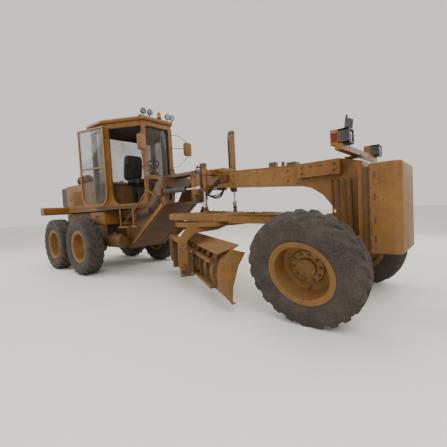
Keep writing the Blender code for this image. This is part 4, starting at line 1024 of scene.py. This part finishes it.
axleCaps = {"leanPin": 0.1155, "kingpin": 0.1405,
            "kingpinCap": [(0, 0.046), (0.012, 0.046), (0.018, 0.036), (0.018, 0.0)],
            "centre": [(0, 0.07), (0.02, 0.07), (0.028, 0.055), (0.028, 0.0)]}
axleFit = []
for name, s in sides:
    pin = Vector(joints["wheel_lean" if name == "right" else "wheel_lean_left"]["pos_m"])
    axleFit += [hexBolt(pin + Vector((0, d * axleCaps["leanPin"], 0)), (0, d, 0), 0.030, 0.022) for d in (-1, 1)]
    steer = joints["steering" if name == "right" else "steering_left"]
    up = Vector(steer["axis"])
    cap = [turnedShape(axleCaps["kingpinCap"], Vector(steer["pos_m"]) + up * d * axleCaps["kingpin"], up * d, 24)
           for d in (1, -1)]
    piece(f"kingpinCaps_{name}", joined(cap), shadedGrimyEnamel, f"lean_bracket_{name}", 35)
axleFit.append(turnedShape(axleCaps["centre"], at(0, 0.115, axleLow.z + (axleHigh.z - axleLow.z) / 2), (0, 1, 0), 28))
piece("axlePins", joined(axleFit), scouredSteel, "front_half", 35)
print("front axle detailed")

gear = {"teeth": 64, "root": 0.585, "tip": 0.612, "rim": 0.64, "low": 1.058, "high": 1.102}
turnAt = Vector(joints["circle_turn"]["pos_m"])
n = gear["teeth"] * 4


def gearRing(radii):
    return [(turnAt.x + r * math.cos(2 * math.pi * k / n), turnAt.y + r * math.sin(2 * math.pi * k / n))
            for k, r in enumerate(radii)]


toothed = gearRing([gear["root"] if k % 4 in (0, 1) else gear["tip"] for k in range(n)])
plain = gearRing([gear["rim"]] * n)
points = [Vector((x, y, z)) for z in (gear["low"], gear["high"]) for line in (toothed, plain) for x, y in line]
faces = []
for k in range(n):
    j = (k + 1) % n
    faces += [(k, j, n + j, n + k)[::-1], (2 * n + k, 2 * n + j, 3 * n + j, 3 * n + k), (k, j, 2 * n + j, 2 * n + k),
              (n + k, 3 * n + k, 3 * n + j, n + j)]
piece("circleTeeth", (points, faces), scouredSteel, "circle")

drawbar = {"boltY": (1.62, 1.90, 2.34, 2.62, 2.80), "boltX": 0.44, "slope": 0.055, "ballY": 0.26, "top": 1.08 + 0.075,
           "web": ((0.085, 0.36), (0.125, 0.36), (0.50, 1.47), (0.455, 1.47)), "webThick": 0.012,
           "motor": (0.36, 2.78, 1.32),
           "motorCap": [(0, 0.082), (0.004, 0.075), (0.06, 0.07), (0.07, 0.06), (0.07, 0.0)]}
barFit = []
for s in (-1, 1):
    for y in drawbar["boltY"]:
        z = drawbar["top"] + drawbar["slope"] * (y - drawbar["ballY"])
        barFit.append(hexBolt(at(s * drawbar["boltX"], y, z - 0.001), (0, -drawbar["slope"], 1), 0.016))
    barFit.append(hexBolt(at(s * 0.40, 2.02, 1.3045), (0, 0, 1), 0.022))
motor = at(*drawbar["motor"])
barFit += [turnedShape(drawbar["motorCap"], motor, (0, 0, 1), 28), boltRing(motor, (0, 0, 1), 0.078, 6, 0.008)]
piece("drawbarFittings", joined(barFit), shadedGrimyEnamel, "drawbar", 35)
webs = [slab([(s * x, y) for x, y in drawbar["web"]], "z", 0.0, drawbar["webThick"]) for s in (-1, 1)]
lift = drawbar["top"] + 0.0005 - drawbar["slope"] * drawbar["ballY"]
shear = Matrix(((1, 0, 0, 0), (0, 1, 0, axleY), (0, drawbar["slope"], 1, lift), (0, 0, 0, 1)))
piece("drawbarTopFlanges", moved(joined(webs), shear), sunFadedEnamel, "drawbar", bevel=0.003, steps=1)

# the blade's own frame: along, back and up from the tip hinge
tip = joints["blade_tip"]
pinAt, alongBlade = tip["pos_m"], Vector(tip["axis"]).normalized()
backward = Vector((-alongBlade.y, alongBlade.x, 0))
bladeFrame = Matrix(((alongBlade.x, backward.x, 0, pinAt[0]), (alongBlade.y, backward.y, 0, pinAt[1]),
                     (0, 0, 1, pinAt[2]), (0, 0, 0, 1)))
blade = {"right": -1.734, "left": 1.366, "edgeBack": 0.306 - 0.68, "radius": 0.43, "from": -52, "sweep": 118,
         "bolt": 0.011, "bolts": 20, "cutter": 0.16, "cutterThick": 0.0135, "ribs": 9, "ribPitch": 0.345, "rib": 0.012}


def bladeFace(t):
    a = math.radians(blade["from"] + blade["sweep"] * t)
    return (blade["edgeBack"] - (blade["radius"] * (1 - math.cos(a)) - 0.125),
            0.47 + blade["radius"] * math.sin(a) - pinAt[2])


rows = [bladeFace(blade["cutter"] * k / 6) for k in range(7)]
outline = [(y - blade["cutterThick"], z) for y, z in rows] + rows[::-1]
edge = slab(outline, "x", blade["right"] + 0.003, blade["left"] - 0.003)
piece("cuttingEdge", moved(edge, bladeFrame), scouredSteel, "moldboard")
studs = []
for k in range(blade["bolts"]):
    x = blade["right"] + 0.09 + k * (blade["left"] - blade["right"] - 0.18) / (blade["bolts"] - 1)
    y, z = bladeFace(0.095)
    studs.append(hexBolt((x, y + 0.0255, z + 0.006), (0, 1, -0.55), blade["bolt"]))
    studs.append(turnedShape([(0, 0.012), (0.003, 0.010), (0.003, 0.0)], (x, y - 0.0135, z), (0, -1, 0.62), 14))
piece("edgeBolts", moved(joined(studs), bladeFrame), scouredSteel, "moldboard", 30)
line = [bladeFace(t / 20) for t in range(6, 16)]
outline = [(y + 0.022, z + 0.004) for y, z in line] + [(y + 0.075, z + 0.004) for y, z in reversed(line)]
ribs = []
for k in range(blade["ribs"]):
    x = blade["right"] + 0.16 + k * blade["ribPitch"]
    ribs.append(slab(outline, "x", x, x + blade["rib"]))
piece("bladeRibs", moved(joined(ribs), bladeFrame), shadedGrimyEnamel, "moldboard", bevel=0.002, steps=1)

carrier = {"x": 0.4905, "bolts": ((-0.13, -0.12), (0.01, -0.12), (-0.13, 0.24), (0.01, 0.24), (-0.06, 0.24)),
           "pin": [(0, 0.060), (0.005, 0.055), (0.005, 0.0)]}
carry = []
for s in (-1, 1):
    carry += [hexBolt((s * carrier["x"], y, z), (s, 0, 0), 0.014) for y, z in carrier["bolts"]]
    carry.append(turnedShape(carrier["pin"], (s * carrier["x"], 0, 0), (s, 0, 0), 28))
piece("carrierBolts", moved(joined(carry), bladeFrame), scouredSteel, "blade_carrier", 30)
circleArm = {"x": 0.5405, "pin": [(0, 0.048), (0.022, 0.048), (0.028, 0.040), (0.028, 0.0)], "boltsUp": 0.30}
armFit = []
for s in (-1, 1):
    foot, crest = (bladeFrame @ Vector((s * circleArm["x"], 0, up)) for up in (0, circleArm["boltsUp"]))
    armFit += [turnedShape(circleArm["pin"], foot, alongBlade * s, 28), boltRing(crest, alongBlade * s, 0.05, 4, 0.012)]
piece("circleArmPins", joined(armFit), shadedGrimyEnamel, "circle", 35)
print("blade gear detailed")

lift = {"gland": [(0, 0.048), (0, 0.060), (0.05, 0.060), (0.05, 0.048)], "hose": 0.009, "hosePitch": 0.026,
        "mainHose": 0.012, "trunnion": [(0, 0.034), (0.012, 0.034), (0.016, 0.026), (0.016, 0.0)],
        "eye": [(0.0, 0.0), (0.0, 0.018), (0.010, 0.034), (0.028, 0.040), (0.050, 0.034), (0.060, 0.030)]}
artic = {"glands": (0.012, 0.462), "inner": 0.042, "outer": 0.049, "long": 0.035}
for name, s in sides:
    low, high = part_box(f"lift_barrel_{name}")
    c = Vector(joints[f"lift_barrel_{name}_swing"]["pos_m"])
    glands = [ringShape(lift["gland"], (c.x, c.y, z), (0, 0, 1), 32) for z in (low.z + 0.004, high.z - 0.056)]
    glands.append(turnedShape(lift["trunnion"], (c.x + s * 0.07, c.y, c.z), (s, 0, 0), 20))
    piece(f"liftGlands_{name}", joined(glands), shadedGrimyEnamel, f"lift_barrel_{name}", 35)
    turn = Matrix.Translation(c) @ Matrix.Rotation(-1.57 if s > 0 else 0.0, 4, "Z")  # left hoses run behind it
    foot, rise = low.z - c.z, high.z - c.z
    run = []
    for k in range(2):
        y, drop = lift["hosePitch"] * k - 0.02, 0.05 * k
        run.append(pipeShape([(-0.052, y, foot + 0.06), (-0.078, y, foot + 0.12), (-0.078, y, rise - 0.11 - drop),
                              (-0.052, y, rise - 0.05 - drop)], lift["hose"], 8))
    run.append(pipeShape([(-0.085, 0.04, 0.10), (-0.105, 0.05, 0.35 * rise), (-0.095, 0.045, rise - 0.05),
                          (-0.05, 0.03, rise - 0.07)], lift["mainHose"], 8))
    piece(f"liftHoses_{name}", joined([moved(shape, turn) for shape in run]), hoseRubber, f"lift_barrel_{name}",
          60)
    eyeAt = (c.x, c.y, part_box(f"lift_rod_{name}")[0].z - 0.038)
    piece(f"liftEye_{name}", turnedShape(lift["eye"], eyeAt, (0, 0, 1), 28), shadedGrimyEnamel, f"lift_rod_{name}",
          40)
    along = Vector(joints[f"artic_rod_{name}_slide"]["axis"])
    start = Vector(joints[f"artic_barrel_{name}_swing"]["pos_m"])
    glands = [ringShape([(t, artic["inner"]), (t, artic["outer"]), (t + artic["long"], artic["outer"]),
                         (t + artic["long"], artic["inner"])], start, along, 32) for t in artic["glands"]]
    piece(f"articGlands_{name}", joined(glands), shadedGrimyEnamel, f"artic_barrel_{name}", 35)
print("cylinders detailed")

bpy.context.view_layer.update()
